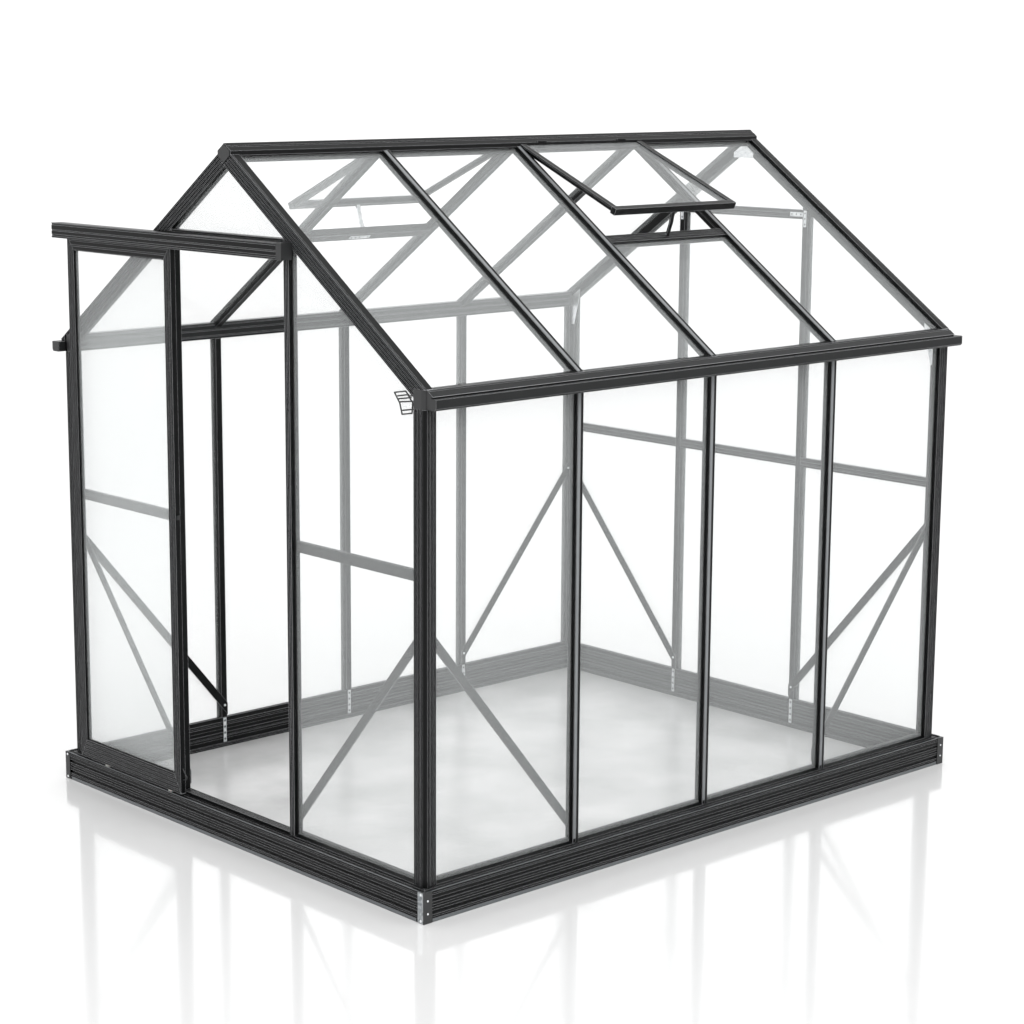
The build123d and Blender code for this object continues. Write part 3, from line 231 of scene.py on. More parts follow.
# %% Moulded plastic
plastic, place, shader = new_finish("black_moulded_abs")
grain = add_node(
    plastic, "ShaderNodeTexNoise", {"Vector": place, "Scale": per_metre(2), "Detail": 4}
)
flow = add_node(
    plastic, "ShaderNodeTexNoise", {"Vector": place, "Scale": per_metre(40), "Detail": 2}
)
sheen = add_node(
    plastic, "ShaderNodeMapRange", {"Value": flow.outputs["Fac"], "To Min": 0.42, "To Max": 0.52}
)
tone = add_node(
    plastic,
    "ShaderNodeMix",
    {"Factor": grain.outputs["Fac"], 6: colour("#1b1c1d"), 7: colour("#262728")},
    data_type="RGBA",
)
bump = add_node(plastic, "ShaderNodeBump", {"Height": grain.outputs["Fac"], "Distance": 0.08 * MM})
connect(plastic, tone.outputs[2], shader, "Base Color")
connect(plastic, sheen.outputs["Result"], shader, "Roughness")
connect(plastic, bump.outputs["Normal"], shader, "Normal")
shader.inputs["IOR"].default_value = 1.53
print(plastic.name)

# %% [markdown]
# ## Galvanised steel
# Plates and strips are punched from sheet that was dipped in molten zinc. The zinc sets in
# flat crystals, its spangle, about 8 mm across. Each one turns the light a little
# differently, so Voronoi cells vary both the grey and the roughness. The strips indoors stay
# bright, while the corner plates at the plinth's foot have dulled in the weather, so the
# same finish is made twice, with lighter and darker greys.


# %% Galvanised sheet, bright and weathered
def galvanised(name, dark, light):
    """A sheet with zinc spangle between two greys."""
    sheet, place, shader = new_finish(name)
    spangle = add_node(sheet, "ShaderNodeTexVoronoi", {"Vector": place, "Scale": per_metre(8)})
    cell = add_node(sheet, "ShaderNodeSeparateColor", {"Color": spangle.outputs["Color"]})
    tone = add_node(
        sheet,
        "ShaderNodeMix",
        {"Factor": cell.outputs["Red"], 6: colour(dark), 7: colour(light)},
        data_type="RGBA",
    )
    sheen = add_node(
        sheet, "ShaderNodeMapRange", {"Value": cell.outputs["Green"], "To Min": 0.3, "To Max": 0.5}
    )
    bump = add_node(
        sheet, "ShaderNodeBump", {"Height": cell.outputs["Blue"], "Distance": 0.03 * MM}
    )
    connect(sheet, tone.outputs[2], shader, "Base Color")
    connect(sheet, sheen.outputs["Result"], shader, "Roughness")
    connect(sheet, bump.outputs["Normal"], shader, "Normal")
    shader.inputs["Metallic"].default_value = 1
    return sheet


zinc = galvanised("galvanised_steel_sheet", "#d3d6d9", "#eef0f1")
old_zinc = galvanised("weathered_galvanised_sheet", "#84888b", "#b1b4b6")
print(zinc.name, old_zinc.name)

# %% [markdown]
# ## White nylon
# Rollers and guide pads are turned from nylon rod. It is slightly waxy and lets a little
# light into its surface, and the lathe leaves fine rings that soften its shine.

# %% Nylon
nylon, place, shader = new_finish("white_turned_nylon")
rings = add_node(
    nylon, "ShaderNodeTexNoise", {"Vector": place, "Scale": per_metre(1.5), "Detail": 2}
)
bump = add_node(nylon, "ShaderNodeBump", {"Height": rings.outputs["Fac"], "Distance": 0.05 * MM})
tone = add_node(
    nylon,
    "ShaderNodeMix",
    {"Factor": rings.outputs["Fac"], 6: colour("#dcdad2"), 7: colour("#efeee9")},
    data_type="RGBA",
)
connect(nylon, tone.outputs[2], shader, "Base Color")
connect(nylon, bump.outputs["Normal"], shader, "Normal")
shader.inputs["Roughness"].default_value = 0.4
shader.inputs["Subsurface Weight"].default_value = 0.1
shader.inputs["Subsurface Scale"].default_value = 2 * MM
print(nylon.name)

# %% [markdown]
# ## Horticultural glass
# Float glass 3 mm thick. Seen against a white studio it shows as a thin milky veil with a
# trace of blue-green, which greys the bars behind it. A plain Alpha of 0.12 on the shader
# gives that veil at each face, so a pane hides a little under a quarter of what is behind it.
# A slow ripple, drawn at 300 mm, bends the reflections as the glass's slight bow does.

# %% Glass
glass, place, shader = new_finish("clear_float_glass")
ripple = add_node(
    glass, "ShaderNodeTexNoise", {"Vector": place, "Scale": per_metre(300), "Detail": 1}
)
bump = add_node(glass, "ShaderNodeBump", {"Height": ripple.outputs["Fac"], "Distance": 0.4 * MM})
connect(glass, bump.outputs["Normal"], shader, "Normal")
shader.inputs["Base Color"].default_value = colour("#f6fafa")
shader.inputs["Roughness"].default_value = 0.06
shader.inputs["Alpha"].default_value = 0.12
shader.inputs["IOR"].default_value = 1.52
print(glass.name)

# %% [markdown]
# ## Finish the CAD parts
# Each part of the CAD model already names its finish, so one table passes them all on. Then
# the gutters and the plinth's corner plates get the variants made for them.

# %% Assign the finishes
FINISHES = {
    "black_powder_coat": coat,
    "black_plastic": plastic,
    "galvanised_steel": zinc,
    "white_nylon": nylon,
    "glass": glass,
}
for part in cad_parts.values():
    part.material_slots[0].material = FINISHES[part.data.materials[0].name]
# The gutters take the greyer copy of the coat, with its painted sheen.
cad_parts["gutters"].material_slots[0].material = paler_sheen_coat
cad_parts["base_corner_plates"].material_slots[0].material = old_zinc
print(len(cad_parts), "CAD parts finished")

# %% [markdown]
# ## Grey PVC, mill-finish aluminium and rubber
# Three small materials join the five of the CAD model. Glazing strips are pushed into the
# bars' grooves and are extruded from grey PVC, which is smooth but dull. The trim at the foot
# and rim of the plinth is bare aluminium as it leaves the die, with faint drawing lines,
# drawn here 4 mm apart. The beads that hold the panes are black EPDM rubber, the dullest
# surface on the building.

# %% PVC
pvc, place, shader = new_finish("grey_extruded_pvc")
haze = add_node(pvc, "ShaderNodeTexNoise", {"Vector": place, "Scale": per_metre(60), "Detail": 3})
# This grey is partly the strips' own colour and partly painted highlight, for the shine along the
# bars.
tone = add_node(
    pvc,
    "ShaderNodeMix",
    {"Factor": haze.outputs["Fac"], 6: colour("#6f7274"), 7: colour("#85888a")},
    data_type="RGBA",
)
bump = add_node(pvc, "ShaderNodeBump", {"Height": haze.outputs["Fac"], "Distance": 0.1 * MM})
connect(pvc, tone.outputs[2], shader, "Base Color")
connect(pvc, bump.outputs["Normal"], shader, "Normal")
shader.inputs["Roughness"].default_value = 0.5
shader.inputs["IOR"].default_value = 1.53
print(pvc.name)

# %% Bare aluminium
bare, place, shader = new_finish("mill_finish_aluminium")
lines = add_node(bare, "ShaderNodeTexNoise", {"Vector": place, "Scale": per_metre(4), "Detail": 2})
tone = add_node(
    bare,
    "ShaderNodeMix",
    {"Factor": lines.outputs["Fac"], 6: colour("#686b6d"), 7: colour("#7e8183")},
    data_type="RGBA",
)
sheen = add_node(
    bare, "ShaderNodeMapRange", {"Value": lines.outputs["Fac"], "To Min": 0.35, "To Max": 0.5}
)
bump = add_node(bare, "ShaderNodeBump", {"Height": lines.outputs["Fac"], "Distance": 0.04 * MM})
connect(bare, tone.outputs[2], shader, "Base Color")
connect(bare, sheen.outputs["Result"], shader, "Roughness")
connect(bare, bump.outputs["Normal"], shader, "Normal")
shader.inputs["Metallic"].default_value = 1
print(bare.name)

# %% Rubber
rubber, place, shader = new_finish("black_epdm_rubber")
bloom = add_node(
    rubber, "ShaderNodeTexNoise", {"Vector": place, "Scale": per_metre(25), "Detail": 3}
)
tone = add_node(
    rubber,
    "ShaderNodeMix",
    {"Factor": bloom.outputs["Fac"], 6: colour("#0c0c0c"), 7: colour("#191a1a")},
    data_type="RGBA",
)
bump = add_node(rubber, "ShaderNodeBump", {"Height": bloom.outputs["Fac"], "Distance": 0.1 * MM})
connect(rubber, tone.outputs[2], shader, "Base Color")
connect(rubber, bump.outputs["Normal"], shader, "Normal")
shader.inputs["Roughness"].default_value = 0.75
print(rubber.name)

# %% [markdown]
# ## Tools for the fittings
# Every fitting is small and made of simple shapes: strips, plates, screws and bent wires. Each
# is drawn on its own axes, x along it and z out of the surface that it stands on, and one
# matrix carries it to its place. That keeps the sizes readable, and the same lines of code
# serve a wall, a gable and a sloping roof.

# %% Axes, strips and finished pieces
HALF_TURN = Matrix.Rotation(math.pi, 4, "Z")
SHARP = math.radians(35)


def axes(origin, along, out):
    """A part's own axes: x along it, z out of the surface that it stands on."""
    x, z = Vector(along).normalized(), Vector(out).normalized()
    turn = Matrix((x, z.cross(x), z)).transposed().to_4x4()
    return Matrix.Translation(origin) @ turn


def add_strip(shape, low, high, place, rounding=0.0):
    """A strip between two corners, given in millimetres, with its edges rounded."""
    low, high = Vector(low) * MM, Vector(high) * MM
    fit = place @ Matrix.Translation((low + high) / 2) @ Matrix.Diagonal((*(high - low), 1))
    made = bmesh.ops.create_cube(shape, size=1, matrix=fit)["verts"]
    if rounding:
        bmesh.ops.bevel(
            shape,
            geom=list({edge for vert in made for edge in vert.link_edges}),
            offset=rounding * MM,
            segments=2,
            profile=0.5,
            affect="EDGES",
            material=-1,
        )


def keep(name, shape, finish, body="frame"):
    """Makes a bmesh a finished piece that rides on a body."""
    bmesh.ops.recalc_face_normals(shape, faces=shape.faces)
    mesh = bpy.data.meshes.new(name)
    shape.to_mesh(mesh)
    shape.free()
    mesh.materials.append(finish)
    mesh.shade_smooth()
    mesh.set_sharp_from_angle(angle=SHARP)
    piece = bpy.data.objects.new(name, mesh)
    bpy.context.scene.collection.objects.link(piece)
    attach(piece, body)
    print(name, len(mesh.polygons), "faces")


# %% [markdown]
# ## Where things are
# The places come from the CAD nodes' boxes: the frame's outer faces, its inner faces, the
# middles of its bars, and the slope of its roof. So most fittings sit on a real surface and
# follow it if the model is packed again with other sizes. The heights of a few bolts, straps,
# beads and wires are plain numbers, which would have to change with it.

# %% Places in the frame
BAR = 25 * MM             # width of a bar's face
RIDGE_RISE = 11 * MM      # the ridge bar's top, above the roof's planes
UP = (0, 0, 1)
frame_x, frame_y, post_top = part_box("corner_posts")[1]
inner_x, inner_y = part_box("anchor_strips")[1].xy
plinth_x, plinth_y, plinth_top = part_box("base_right")[1]
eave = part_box("gutters")[1].z
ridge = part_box("ridge_bar")[1].z - RIDGE_RISE
stud_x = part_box("back_studs")[1].x - BAR / 2
bar_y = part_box("side_bars_right")[1].y - BAR / 2
corner_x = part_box("sills_front")[1].x
corner_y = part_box("sills_sides")[1].y
slope = math.atan2(ridge - eave, frame_x)
slope_length = math.hypot(ridge - eave, frame_x)
up_slope = Vector((-math.cos(slope), 0, math.sin(slope)))
off_slope = Vector((math.sin(slope), 0, math.cos(slope)))
print("slope", round(math.degrees(slope), 2), "degrees, bars at", round(bar_y, 3))

# %% [markdown]
# ## Glazing strips
# Each side bar, roof bar and back stud has one wide groove in its face. After the panes are
# in, a PVC strip is tapped into the groove and springs against its sides. It shows as a pale
# line down a black bar, partly by its own grey and partly by painted highlight: its grey is
# made paler to stand in for the shine along the bar. A strip is a long box with its edges
# rounded over two segments, and it stands 0.7 mm proud of the bar.

# %% Strips in the bars
STRIP_HALF = 5.4          # millimetres, in a groove 11.5 wide
STRIP_SHIFT = 4.25 * MM   # from the bar's middle to the groove's
STRIP_LOW, STRIP_HIGH = -1.9, 0.7
STRIP_EDGE = 1.2
STRIP_FOOT, STUD_STRIP_TOP = 118, 2015
ROOF_STRIP_FOOT, ROOF_STRIP_SHORT = 6, 44   # from the eave, and short of the ridge


def add_glazing_strip(shape, start, end, place):
    """A strip along a bar's groove, from start to end in millimetres."""
    low, high = (start, -STRIP_HALF, STRIP_LOW), (end, STRIP_HALF, STRIP_HIGH)
    add_strip(shape, low, high, place, STRIP_EDGE)


strips = bmesh.new()
for side in (Matrix(), HALF_TURN):
    for y in (-bar_y, 0, bar_y):
        wall = side @ axes((frame_x, y - STRIP_SHIFT, 0), UP, (1, 0, 0))
        add_glazing_strip(strips, STRIP_FOOT, post_top / MM - 1, wall)
        roof = side @ axes((frame_x, y - STRIP_SHIFT, eave), up_slope, off_slope)
        add_glazing_strip(strips, ROOF_STRIP_FOOT, slope_length / MM - ROOF_STRIP_SHORT, roof)
for x in (stud_x + STRIP_SHIFT, -stud_x - STRIP_SHIFT):
    gable = axes((x, frame_y, 0), UP, (0, 1, 0))
    add_glazing_strip(strips, STRIP_FOOT, STUD_STRIP_TOP, gable)
keep("glazing_strips", strips, pvc)

# %% [markdown]
# ## Rubber beads
# A pane is held by a soft bead that fills the gap between the glass and the bar's flank, seen
# as a thin dark line along the pane's edge. The beads run up both sides of every bar, in the
# walls, the gables and the roof, so they are drawn in one loop over the bars' edges.

# %% Beads along the panes
BEAD = 3                  # millimetres, square
GLASS_FACE = -16          # the panes' outer faces, behind the frame's
BEAD_FOOT, CORNER_BEAD_TOP, STUD_BEAD_TOP = 117, 1598, 2014
ROOF_BEAD_FOOT, ROOF_BEAD_SHORT = 10, 46    # from the eave, and short of the ridge


def add_bead(shape, start, end, way, place):
    """A bead from start to end, beside a line: 1 or -1 says which way along the place's y."""
    low, high = sorted((0, way * BEAD))
    add_strip(shape, (start, low, GLASS_FACE), (end, high, GLASS_FACE + BEAD), place)


beads = bmesh.new()
edges_y = [-corner_y, -bar_y - BAR / 2, -bar_y + BAR / 2, -BAR / 2]
edges_facing_back = (-corner_y, -bar_y + BAR / 2, BAR / 2, bar_y + BAR / 2)
for side in (Matrix(), HALF_TURN):
    for y in edges_y + [-y for y in edges_y]:
        way = -1 if y in edges_facing_back else 1
        wall = side @ axes((frame_x, y, 0), UP, (1, 0, 0))
        add_bead(beads, BEAD_FOOT, post_top / MM, way, wall)
        if abs(y) != corner_y:
            roof = side @ axes((frame_x, y, eave), up_slope, off_slope)
            add_bead(beads, ROOF_BEAD_FOOT, slope_length / MM - ROOF_BEAD_SHORT, way, roof)
    for x, top, way in ((corner_x, CORNER_BEAD_TOP, -1), (stud_x + BAR / 2, STUD_BEAD_TOP, 1)):
        for out in (-1, 1):
            # Here y points along X at the back and against it at the front, as out does.
            gable = side @ axes((x, out * frame_y, 0), UP, (0, out, 0))
            add_bead(beads, BEAD_FOOT, top, out * way, gable)
keep("glazing_beads", beads, rubber)

# %% [markdown]
# ## Trim on the plinth
# The plinth stands on a bare aluminium flange, a pale line along its foot, and its ledge has
# a thin raised rim that turns each corner in a curve. The rim starts as one rectangle: its
# corners are bevelled round, it is inset to leave a narrow ring, and solidify gives the ring
# its height.

# %% Foot flange
CORNER_WIDTH = 35         # millimetres that the corner plates cover
FLANGE_FOOT, FLANGE_TOP = 0.5, 11
FLANGE_BACK, FLANGE_FACE = -0.5, 0.7
SHEET_EDGE = 0.4          # how far the edges of thin strips and plates are rounded
flange = bmesh.new()
for side in (Matrix(), HALF_TURN):
    for origin, along, half in (
        ((plinth_x, 0, 0), (0, 1, 0), plinth_y),
        ((0, -plinth_y, 0), (1, 0, 0), plinth_x),
    ):
        reach = half / MM - CORNER_WIDTH
        low, high = (-reach, FLANGE_FOOT, FLANGE_BACK), (reach, FLANGE_TOP, FLANGE_FACE)
        add_strip(flange, low, high, side @ axes(origin, along, origin), SHEET_EDGE)
keep("plinth_foot_flange", flange, bare)

# %% Rim of the ledge
RIM_WIDTH, RIM_HEIGHT, RIM_TURN = 2.5 * MM, 1.4 * MM, 22 * MM
rim = bmesh.new()
bmesh.ops.create_grid(
    rim, x_segments=1, y_segments=1, size=1, matrix=Matrix.Diagonal((plinth_x, plinth_y, 1, 1))
)
bmesh.ops.bevel(
    rim, geom=rim.verts[:], offset=RIM_TURN, segments=8, profile=0.5, affect="VERTICES", material=-1
)
ring = bmesh.ops.inset_individual(rim, faces=rim.faces[:], thickness=RIM_WIDTH)["faces"]
bmesh.ops.delete(rim, geom=[face for face in rim.faces if face not in ring], context="FACES")
bmesh.ops.solidify(rim, geom=rim.faces[:], thickness=RIM_HEIGHT)
base = min(vert.co.z for vert in rim.verts)
bmesh.ops.translate(rim, verts=rim.verts[:], vec=(0, 0, plinth_top - base))
print("rim", [round(max(vert.co[i] for vert in rim.verts), 4) for i in range(3)])
keep("plinth_rim", rim, bare)

# %% [markdown]
# ## Screws and bolts
# Pan-head screws hold the plinth's corners and the braces, in bright zinc, and the strips that
# tie each bar to the plinth, in a duller metal that shows against the strip. There are dozens
# of them, so each head is only a twelve-sided cone with its top inset for the driver's recess.

# %% A screw's head
HEAD_TAPER = 0.7          # its top, as a share of its radius
RECESS_INSET = 0.35       # the rim round its recess, as a share of its radius
RECESS_DEPTH = 0.5        # the recess, as a share of the head's height


def add_screw(shape, place, radius, height):
    """A pan head in millimetres, with a recess sunk into its top."""
    rise = Matrix.Translation((0, 0, height * MM / 2))
    head = bmesh.ops.create_cone(
        shape,
        cap_ends=True,
        segments=12,
        radius1=radius * MM,
        radius2=HEAD_TAPER * radius * MM,
        depth=height * MM,
        matrix=place @ rise,
    )["verts"]
    top = max(
        {face for vert in head for face in vert.link_faces},
        key=lambda face: (place.inverted() @ face.calc_center_median()).z,
    )
    bmesh.ops.inset_individual(
        shape,
        faces=[top],
        thickness=RECESS_INSET * radius * MM,
        depth=-RECESS_DEPTH * height * MM,
    )


# %% Screws on the plinth's corners
PLATE = 2 * MM            # thickness of the corner plates and caps and the anchor strips
FRONT_SCREW, SIDE_SCREW = (4.5, 1.6), (3.6, 1.4)  # each head's radius and height
FRONT_IN, SIDE_IN = 12.5 * MM, 15 * MM            # in from the corner
screws = bmesh.new()
for x in (-1, 1):
    for z in (8.5, 91.5):
        spot = (x * (plinth_x - FRONT_IN), -plinth_y - PLATE, z * MM)
        add_screw(screws, axes(spot, UP, (0, -1, 0)), *FRONT_SCREW)
    for y in (-1, 1):
        for z in (31, 72):
            spot = (x * (plinth_x + PLATE), y * (plinth_y - SIDE_IN), z * MM)
            add_screw(screws, axes(spot, UP, (x, 0, 0)), *SIDE_SCREW)
keep("plinth_corner_screws", screws, zinc)

# %% Bolts on the anchor strips
ANCHOR_BOLT = (4.6, 2.2)
walls = [((x * inner_x, y, 0), (-x, 0, 0)) for x in (-1, 1) for y in (-bar_y, 0, bar_y)]
gables = [((x, y * inner_y, 0), (0, -y, 0)) for x in (-stud_x, stud_x) for y in (-1, 1)]
strip_bolts = bmesh.new()
for bar_foot, inward in walls + gables:
    for z in (32, 56, 80, 104):
        spot = Vector(bar_foot) + Vector(inward) * PLATE + Vector((0, 0, z * MM))
        add_screw(strip_bolts, axes(spot, UP, inward), *ANCHOR_BOLT)
keep("anchor_strip_bolts", strip_bolts, bare)

# %% Bolts on the braces
BRACE_BOLT = (5, 2.2)
BRACE_PLATE = 4 * MM
BRACE_FOOT, BRACE_HEAD = 165 * MM, 879 * MM       # heights of a brace's two bolts
WALL_HEAD_IN, GABLE_HEAD_IN = 14 * MM, 18 * MM    # upper bolts, in from the corner
brace_bolts = bmesh.new()
for x in (-1, 1):
    for y in (-1, 1):
        for spot, inward in (
            ((x * inner_x, y * bar_y, BRACE_FOOT), (-x, 0, 0)),
            ((x * inner_x, y * (inner_y - WALL_HEAD_IN), BRACE_HEAD), (-x, 0, 0)),
            ((x * stud_x, y * inner_y, BRACE_FOOT), (0, -y, 0)),
            ((x * (inner_x - GABLE_HEAD_IN), y * inner_y, BRACE_HEAD), (0, -y, 0)),
        ):
            place = axes(Vector(spot) + Vector(inward) * BRACE_PLATE, UP, inward)
            add_screw(brace_bolts, place, *BRACE_BOLT)
keep("brace_bolts", brace_bolts, zinc)

# %% [markdown]
# ## Brackets at the back collar
# Where the back collar meets each stud, a punched steel strap is screwed along the collar and
# another one down the stud. Both are flat plates with a row of screws.

# %% Straps at the back
STRAP_HALF, STRAP_THICK = 7, 2                    # millimetres, as all below
STUD_STRAP = (1960, 2022)                         # heights of the strap down the stud
COLLAR_STRAP, COLLAR_STRAP_HALF = (10, 72), 8     # the strap along the collar, from the stud
STRAP_SCREW = (3.4, 1.4)
collar_low, collar_high = (corner.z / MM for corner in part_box("back_collar"))
collar_middle = (collar_low + collar_high) / 2
screw_row = [(0, z) for z in (1970, 1991, 2012)] + [(x, collar_middle) for x in (20, 42, 64)]
straps, strap_screws = bmesh.new(), bmesh.new()
for x in (-1, 1):
    # The axes start at the stud on the ground, with x towards the middle and z into the room.
    # Their y points down on one side and up on the other, so heights change sign with x.
    stud = axes((x * stud_x, inner_y, 0), (-x, 0, 0), (0, -1, 0))
    low, high = sorted(-x * z for z in STUD_STRAP)
    add_strip(
        straps, (-STRAP_HALF, low, 0), (STRAP_HALF, high, STRAP_THICK), stud, SHEET_EDGE
    )
    low, high = sorted(
        -x * z for z in (collar_middle - COLLAR_STRAP_HALF, collar_middle + COLLAR_STRAP_HALF)
    )
    near, far = COLLAR_STRAP
    add_strip(straps, (near, low, 0), (far, high, STRAP_THICK), stud, SHEET_EDGE)
    for along, z in screw_row:
        spot = stud @ Matrix.Translation((along * MM, -x * z * MM, STRAP_THICK * MM))
        add_screw(strap_screws, spot, *STRAP_SCREW)
keep("collar_straps", straps, zinc)
keep("collar_strap_screws", strap_screws, bare)

# %% [markdown]
# ## Gutter ends
# The gutters' ends are closed by pushed-on plates. Each takes the gutter's own outline: the
# end faces of a copy of the gutter's mesh are kept, the rest is deleted, and solidify makes
# them a plate, so the plate fits the extrusion whatever its shape is.

# %% End plates
END_PLATE = 1.5 * MM
SHORT_END_BACK = 10 * MM  # the gutters' short ends stop this far behind the gable's face
SAME_PLACE = 0.1 * MM
FRAME_SLACK = 1 * MM      # a gutter's end may start this far inside the frame's side
long_end, short_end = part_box("gutters")[1].y, frame_y - SHORT_END_BACK


def closes_an_end(face):
    """Whether a face lies in the plane of a gutter's end, outside the frame."""
    off_plane = min(
        max(abs(abs(vert.co.y) - end) for vert in face.verts) for end in (long_end, short_end)
    )
    nearest = min(abs(vert.co.x) for vert in face.verts)
    return off_plane <= SAME_PLACE and nearest >= frame_x - FRAME_SLACK


gutter_ends = bmesh.new()
gutter_ends.from_mesh(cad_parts["gutters"].data)
bmesh.ops.remove_doubles(gutter_ends, verts=gutter_ends.verts[:], dist=0.01 * MM)
others = [face for face in gutter_ends.faces if not closes_an_end(face)]
bmesh.ops.delete(gutter_ends, geom=others, context="FACES")
bmesh.ops.recalc_face_normals(gutter_ends, faces=gutter_ends.faces)
for face in gutter_ends.faces:
    if face.normal.y * face.calc_center_median().y < 0:
        face.normal_flip()
bmesh.ops.solidify(gutter_ends, geom=gutter_ends.faces[:], thickness=-END_PLATE)
print("gutter ends reach", round(max(vert.co.y for vert in gutter_ends.verts), 4))
keep("gutter_end_plates", gutter_ends, plastic)

# %% [markdown]
# ## Windows
# Each roof window turns on two hinge knuckles under the ridge. Its stay is pinned at both
# ends, and a small plate under the crossbar, held by four screws, takes the stay's foot.

# %% Hinge knuckles
KNUCKLE_RADIUS, KNUCKLE_LENGTH = 3.5 * MM, 46 * MM
KNUCKLE_OUT, KNUCKLE_DROP = 35 * MM, 11 * MM      # from the line where the roof's planes meet
hinges = bmesh.new()
for side in (Matrix(), HALF_TURN):
    for along in (-200, 200):
        middle = (KNUCKLE_OUT, bar_y / 2 + along * MM, ridge - KNUCKLE_DROP)
        bmesh.ops.create_cone(
            hinges,
            cap_ends=True,
            segments=16,
            radius1=KNUCKLE_RADIUS,
            radius2=KNUCKLE_RADIUS,
            depth=KNUCKLE_LENGTH,
            matrix=side @ axes(middle, (1, 0, 0), (0, 1, 0)),
        )
keep("window_hinges", hinges, coat)

# %% Crossbar brackets
CROSSBAR_UP = 620.8       # millimetres up the slope from the eave to the crossbar's middle
CROSSBAR_INNER = -34      # its inner face, behind the roof's plane
BRACKET_HALF, BRACKET_THICK = 9, 2
BRACKET_ENDS = (-78, 14)
BRACKET_SCREW = (3.4, 1.6)
BRACKET_FACE = CROSSBAR_INNER - BRACKET_THICK
FLIP = Matrix.Rotation(math.pi, 4, "X")           # turns a screw's head to face the room
brackets, pins = bmesh.new(), bmesh.new()
for side in (Matrix(), HALF_TURN):
    window = side @ axes((frame_x, bar_y / 2, eave), up_slope, off_slope)
    low = (CROSSBAR_UP - BRACKET_HALF, BRACKET_ENDS[0], BRACKET_FACE)
    high = (CROSSBAR_UP + BRACKET_HALF, BRACKET_ENDS[1], CROSSBAR_INNER)
    add_strip(brackets, low, high, window, SHEET_EDGE)
    for along in (-70, -52, -34, 4):
        spot = Matrix.Translation((CROSSBAR_UP * MM, along * MM, BRACKET_FACE * MM))
        add_screw(pins, window @ spot @ FLIP, *BRACKET_SCREW)
keep("crossbar_brackets", brackets, zinc)

# %% Pins of the stays
PIN = (4, 2)
PIN_IN, PIN_UP = 3 * MM, 8 * MM                   # from the stay's corner to a pin's middle
for node, way in (("window_stay_right", 1), ("window_stay_left", -1)):
    low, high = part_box(node)
    foot_x, head_x = (low.x, high.x) if way > 0 else (high.x, low.x)
    for x, z in (
        (foot_x + way * PIN_IN, low.z + PIN_UP),
        (head_x - way * PIN_IN, high.z - PIN_UP),
    ):
        for y, out in ((low.y, -1), (high.y, 1)):
            add_screw(pins, axes((x, y, z), UP, (0, out, 0)), *PIN)
keep("window_pins", pins, bare)

# %% [markdown]
# ## Bent wires
# Two small things are bent from black wire: a basket-like bracket inside the near top corner
# of the front gable, and a catch at the foot of the door's edge, which springs against the
# post. Each is a chain of straight runs with a ball at every bend.


# %% A bent wire
def add_wire(shape, points, radius):
    """Straight runs of wire through some points in metres, with a ball at each bend."""
    for start, end in zip(points, points[1:]):
        run = Vector(end) - Vector(start)
        place = axes((Vector(start) + Vector(end)) / 2, run.orthogonal(), run)
        bmesh.ops.create_cone(
            shape,
            cap_ends=True,
            segments=8,
            radius1=radius * MM,
            radius2=radius * MM,
            depth=run.length,
            matrix=place,
        )
    for point in points:
        bmesh.ops.create_icosphere(
            shape, subdivisions=1, radius=radius * MM, matrix=Matrix.Translation(point)
        )


# %% Wire bracket
BRACKET_WIRE = 2.3        # millimetres, the wire's radius
WIRE_Y = -frame_y + 8 * MM
outline = [(824, 1606), (876, 1615), (907, 1583), (904, 1552), (859, 1544), (848, 1577)]
rungs = [
    [(839, 1597), (889, 1606)],
    [(844, 1589), (900, 1598)],
    [(848, 1580), (907, 1588)],
    [(861, 1556), (919, 1566)],
    [(889, 1602), (921, 1606)],
]
bracket = bmesh.new()
for run in [outline + outline[:1]] + rungs:
    add_wire(bracket, [(x * MM, WIRE_Y, z * MM) for x, z in run], BRACKET_WIRE)
keep("corner_wire_bracket", bracket, plastic)

# %% Door catch
CATCH_WIRE = 1.8
stile_low, stile_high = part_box("door_stiles")
door_middle = (stile_low.y + stile_high.y) / 2
loop = [(-2, 198), (24, 170), (21, 164), (-2, 156)]
catch = bmesh.new()
add_wire(catch, [(stile_high.x + x * MM, door_middle, z * MM) for x, z in loop], CATCH_WIRE)
keep("door_wire_catch", catch, plastic, "door")

# %% [markdown]
# ## Door fittings
# The door hangs on two plates bolted into its top rail. The rollers turn on short axles, and
# a rubber bead holds the pane on all four sides. All of it moves with the door. The rollers
# run only a millimetre in front of the track's inner face, so the axles' heads there are
# thinner than that and never rub.

# %% Axles of the rollers
AXLE_IN = 20 * MM         # from the hangers' outer ends
AXLE_NUT, AXLE_HEAD = (5, 3), (3.5, 0.6)
axles = bmesh.new()
rollers_low, rollers_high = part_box("door_rollers")
hangers_low, hangers_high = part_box("door_hangers")
axle_z = (rollers_low.z + rollers_high.z) / 2
for x in (hangers_low.x + AXLE_IN, hangers_high.x - AXLE_IN):
    add_screw(axles, axes((x, hangers_low.y, axle_z), UP, (0, -1, 0)), *AXLE_NUT)
    add_screw(axles, axes((x, rollers_high.y, axle_z), UP, (0, 1, 0)), *AXLE_HEAD)
keep("roller_axles", axles, zinc, "door")

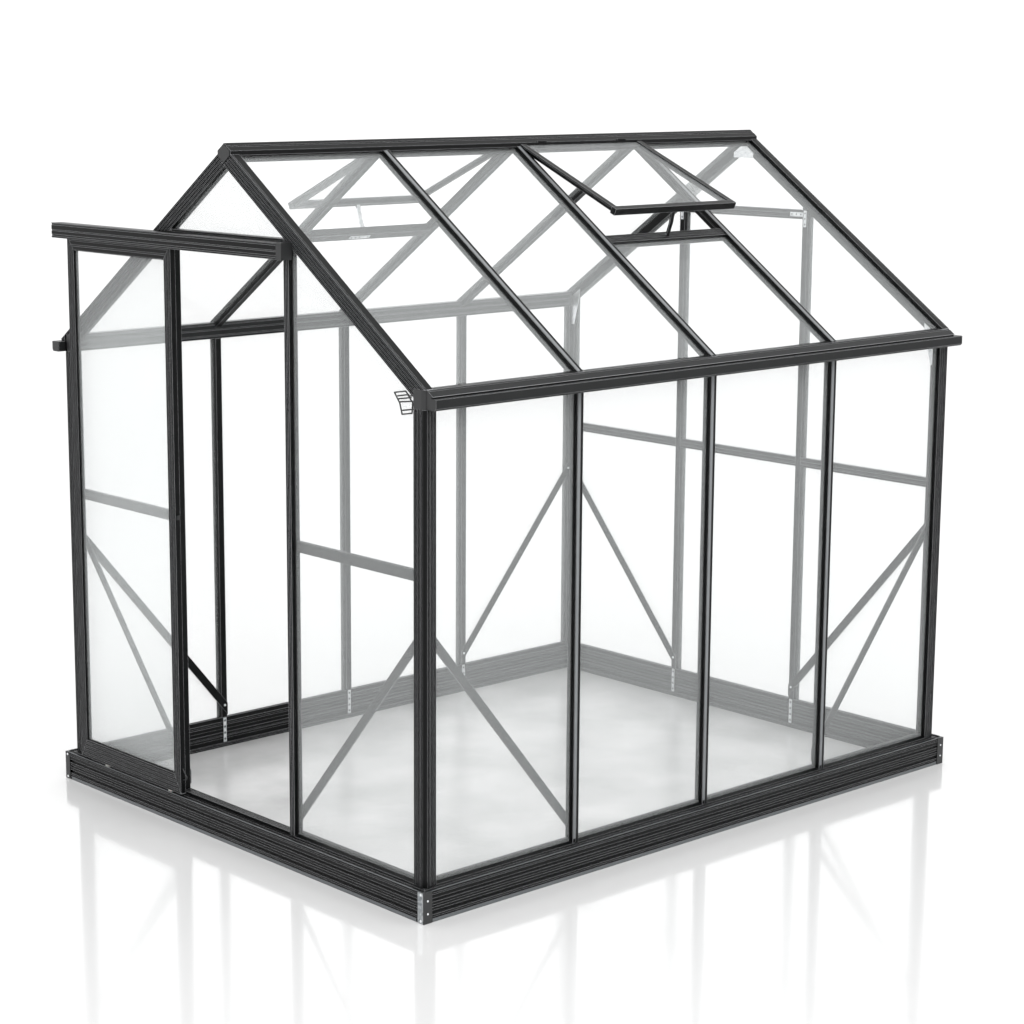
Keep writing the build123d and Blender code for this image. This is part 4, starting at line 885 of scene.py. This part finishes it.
# %% Beads round the door's pane
PANE_IN_RAIL = 7.5        # millimetres of the pane that the door's rails cover
DOOR_BEAD_THICK = 2
door_beads = bmesh.new()
pane_low, pane_high = (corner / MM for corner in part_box("door_glass"))
front, back_face = pane_low.y - DOOR_BEAD_THICK, pane_low.y
left, right = pane_low.x + PANE_IN_RAIL, pane_high.x - PANE_IN_RAIL
bottom, top = pane_low.z + PANE_IN_RAIL, pane_high.z - PANE_IN_RAIL
for (x1, z1), (x2, z2) in (
    ((left, bottom), (left + BEAD, top)),
    ((right - BEAD, bottom), (right, top)),
    ((left, bottom), (right, bottom + BEAD)),
    ((left, top - BEAD), (right, top)),
):
    add_strip(door_beads, (x1, front, z1), (x2, back_face, z2), Matrix())
keep("door_beads", door_beads, rubber, "door")

# %% [markdown]
# ## The studio
# A pale polished floor lies under an even white sky. It is one wide disc, so its edge lies at
# the horizon from every side. Inside the plinth the floor is a slab of pale grey concrete,
# ground smooth. Its faint cloudy pattern of greys, about 400 mm across, is painted reflection,
# standing in for blurred grey reflections on the ground indoors.

# %% Floor
floor_finish, _, shader = new_finish("pale_polished_floor")
shader.inputs["Base Color"].default_value = colour("#e6e6e6")
shader.inputs["Roughness"].default_value = 0.1
shader.inputs["IOR"].default_value = 2.4

slab_finish, place, shader = new_finish("ground_concrete_slab")
reflection_clouds = add_node(
    slab_finish, "ShaderNodeTexNoise", {"Vector": place, "Scale": per_metre(400), "Detail": 6}
)
# The cloudy greys are painted reflections, blurred as on the ground indoors.
tone = add_node(
    slab_finish,
    "ShaderNodeMix",
    {"Factor": reflection_clouds.outputs["Fac"], 6: colour("#8c8c8c"), 7: colour("#f0f0f0")},
    data_type="RGBA",
)
connect(slab_finish, tone.outputs[2], shader, "Base Color")
shader.inputs["Roughness"].default_value = 0.25
shader.inputs["IOR"].default_value = 1.6


def stage_piece(name, shape, finish):
    """A part of the studio, which isn't part of the building."""
    mesh = bpy.data.meshes.new(name)
    shape.to_mesh(mesh)
    shape.free()
    mesh.materials.append(finish)
    made = bpy.data.objects.new(name, mesh)
    bpy.context.scene.collection.objects.link(made)


FLOOR_RADIUS = 60
SLAB_LIFT = 1 * MM        # above the floor, so that the two never lie in one plane
disc = bmesh.new()
bmesh.ops.create_circle(disc, cap_ends=True, segments=96, radius=FLOOR_RADIUS)
stage_piece("floor", disc, floor_finish)
slab = bmesh.new()
fit = Matrix.Translation((0, 0, SLAB_LIFT)) @ Matrix.Diagonal((inner_x, inner_y, 1, 1))
bmesh.ops.create_grid(slab, x_segments=1, y_segments=1, size=1, matrix=fit)
stage_piece("indoor_slab", slab, slab_finish)

# %% Lights
sky = bpy.data.worlds.new("studio_sky")
sky.use_nodes = True
background = sky.node_tree.nodes["Background"]
background.inputs["Color"].default_value = colour("#ffffff")
background.inputs["Strength"].default_value = 1.18
bpy.context.scene.world = sky
bpy.context.scene.view_settings.view_transform = "Standard"


def softbox(name, place, aim, size, watts):
    """A square area light that faces a point."""
    light = bpy.data.objects.new(name, bpy.data.lights.new(name, "AREA"))
    light.data.size = size
    light.data.energy = watts
    light.location = place
    light.rotation_euler = (Vector(aim) - Vector(place)).to_track_quat("-Z", "Y").to_euler()
    bpy.context.scene.collection.objects.link(light)


softbox("key_light", (4, -3, 7), (0, 0, 1), 5, 260)
print("studio ready")
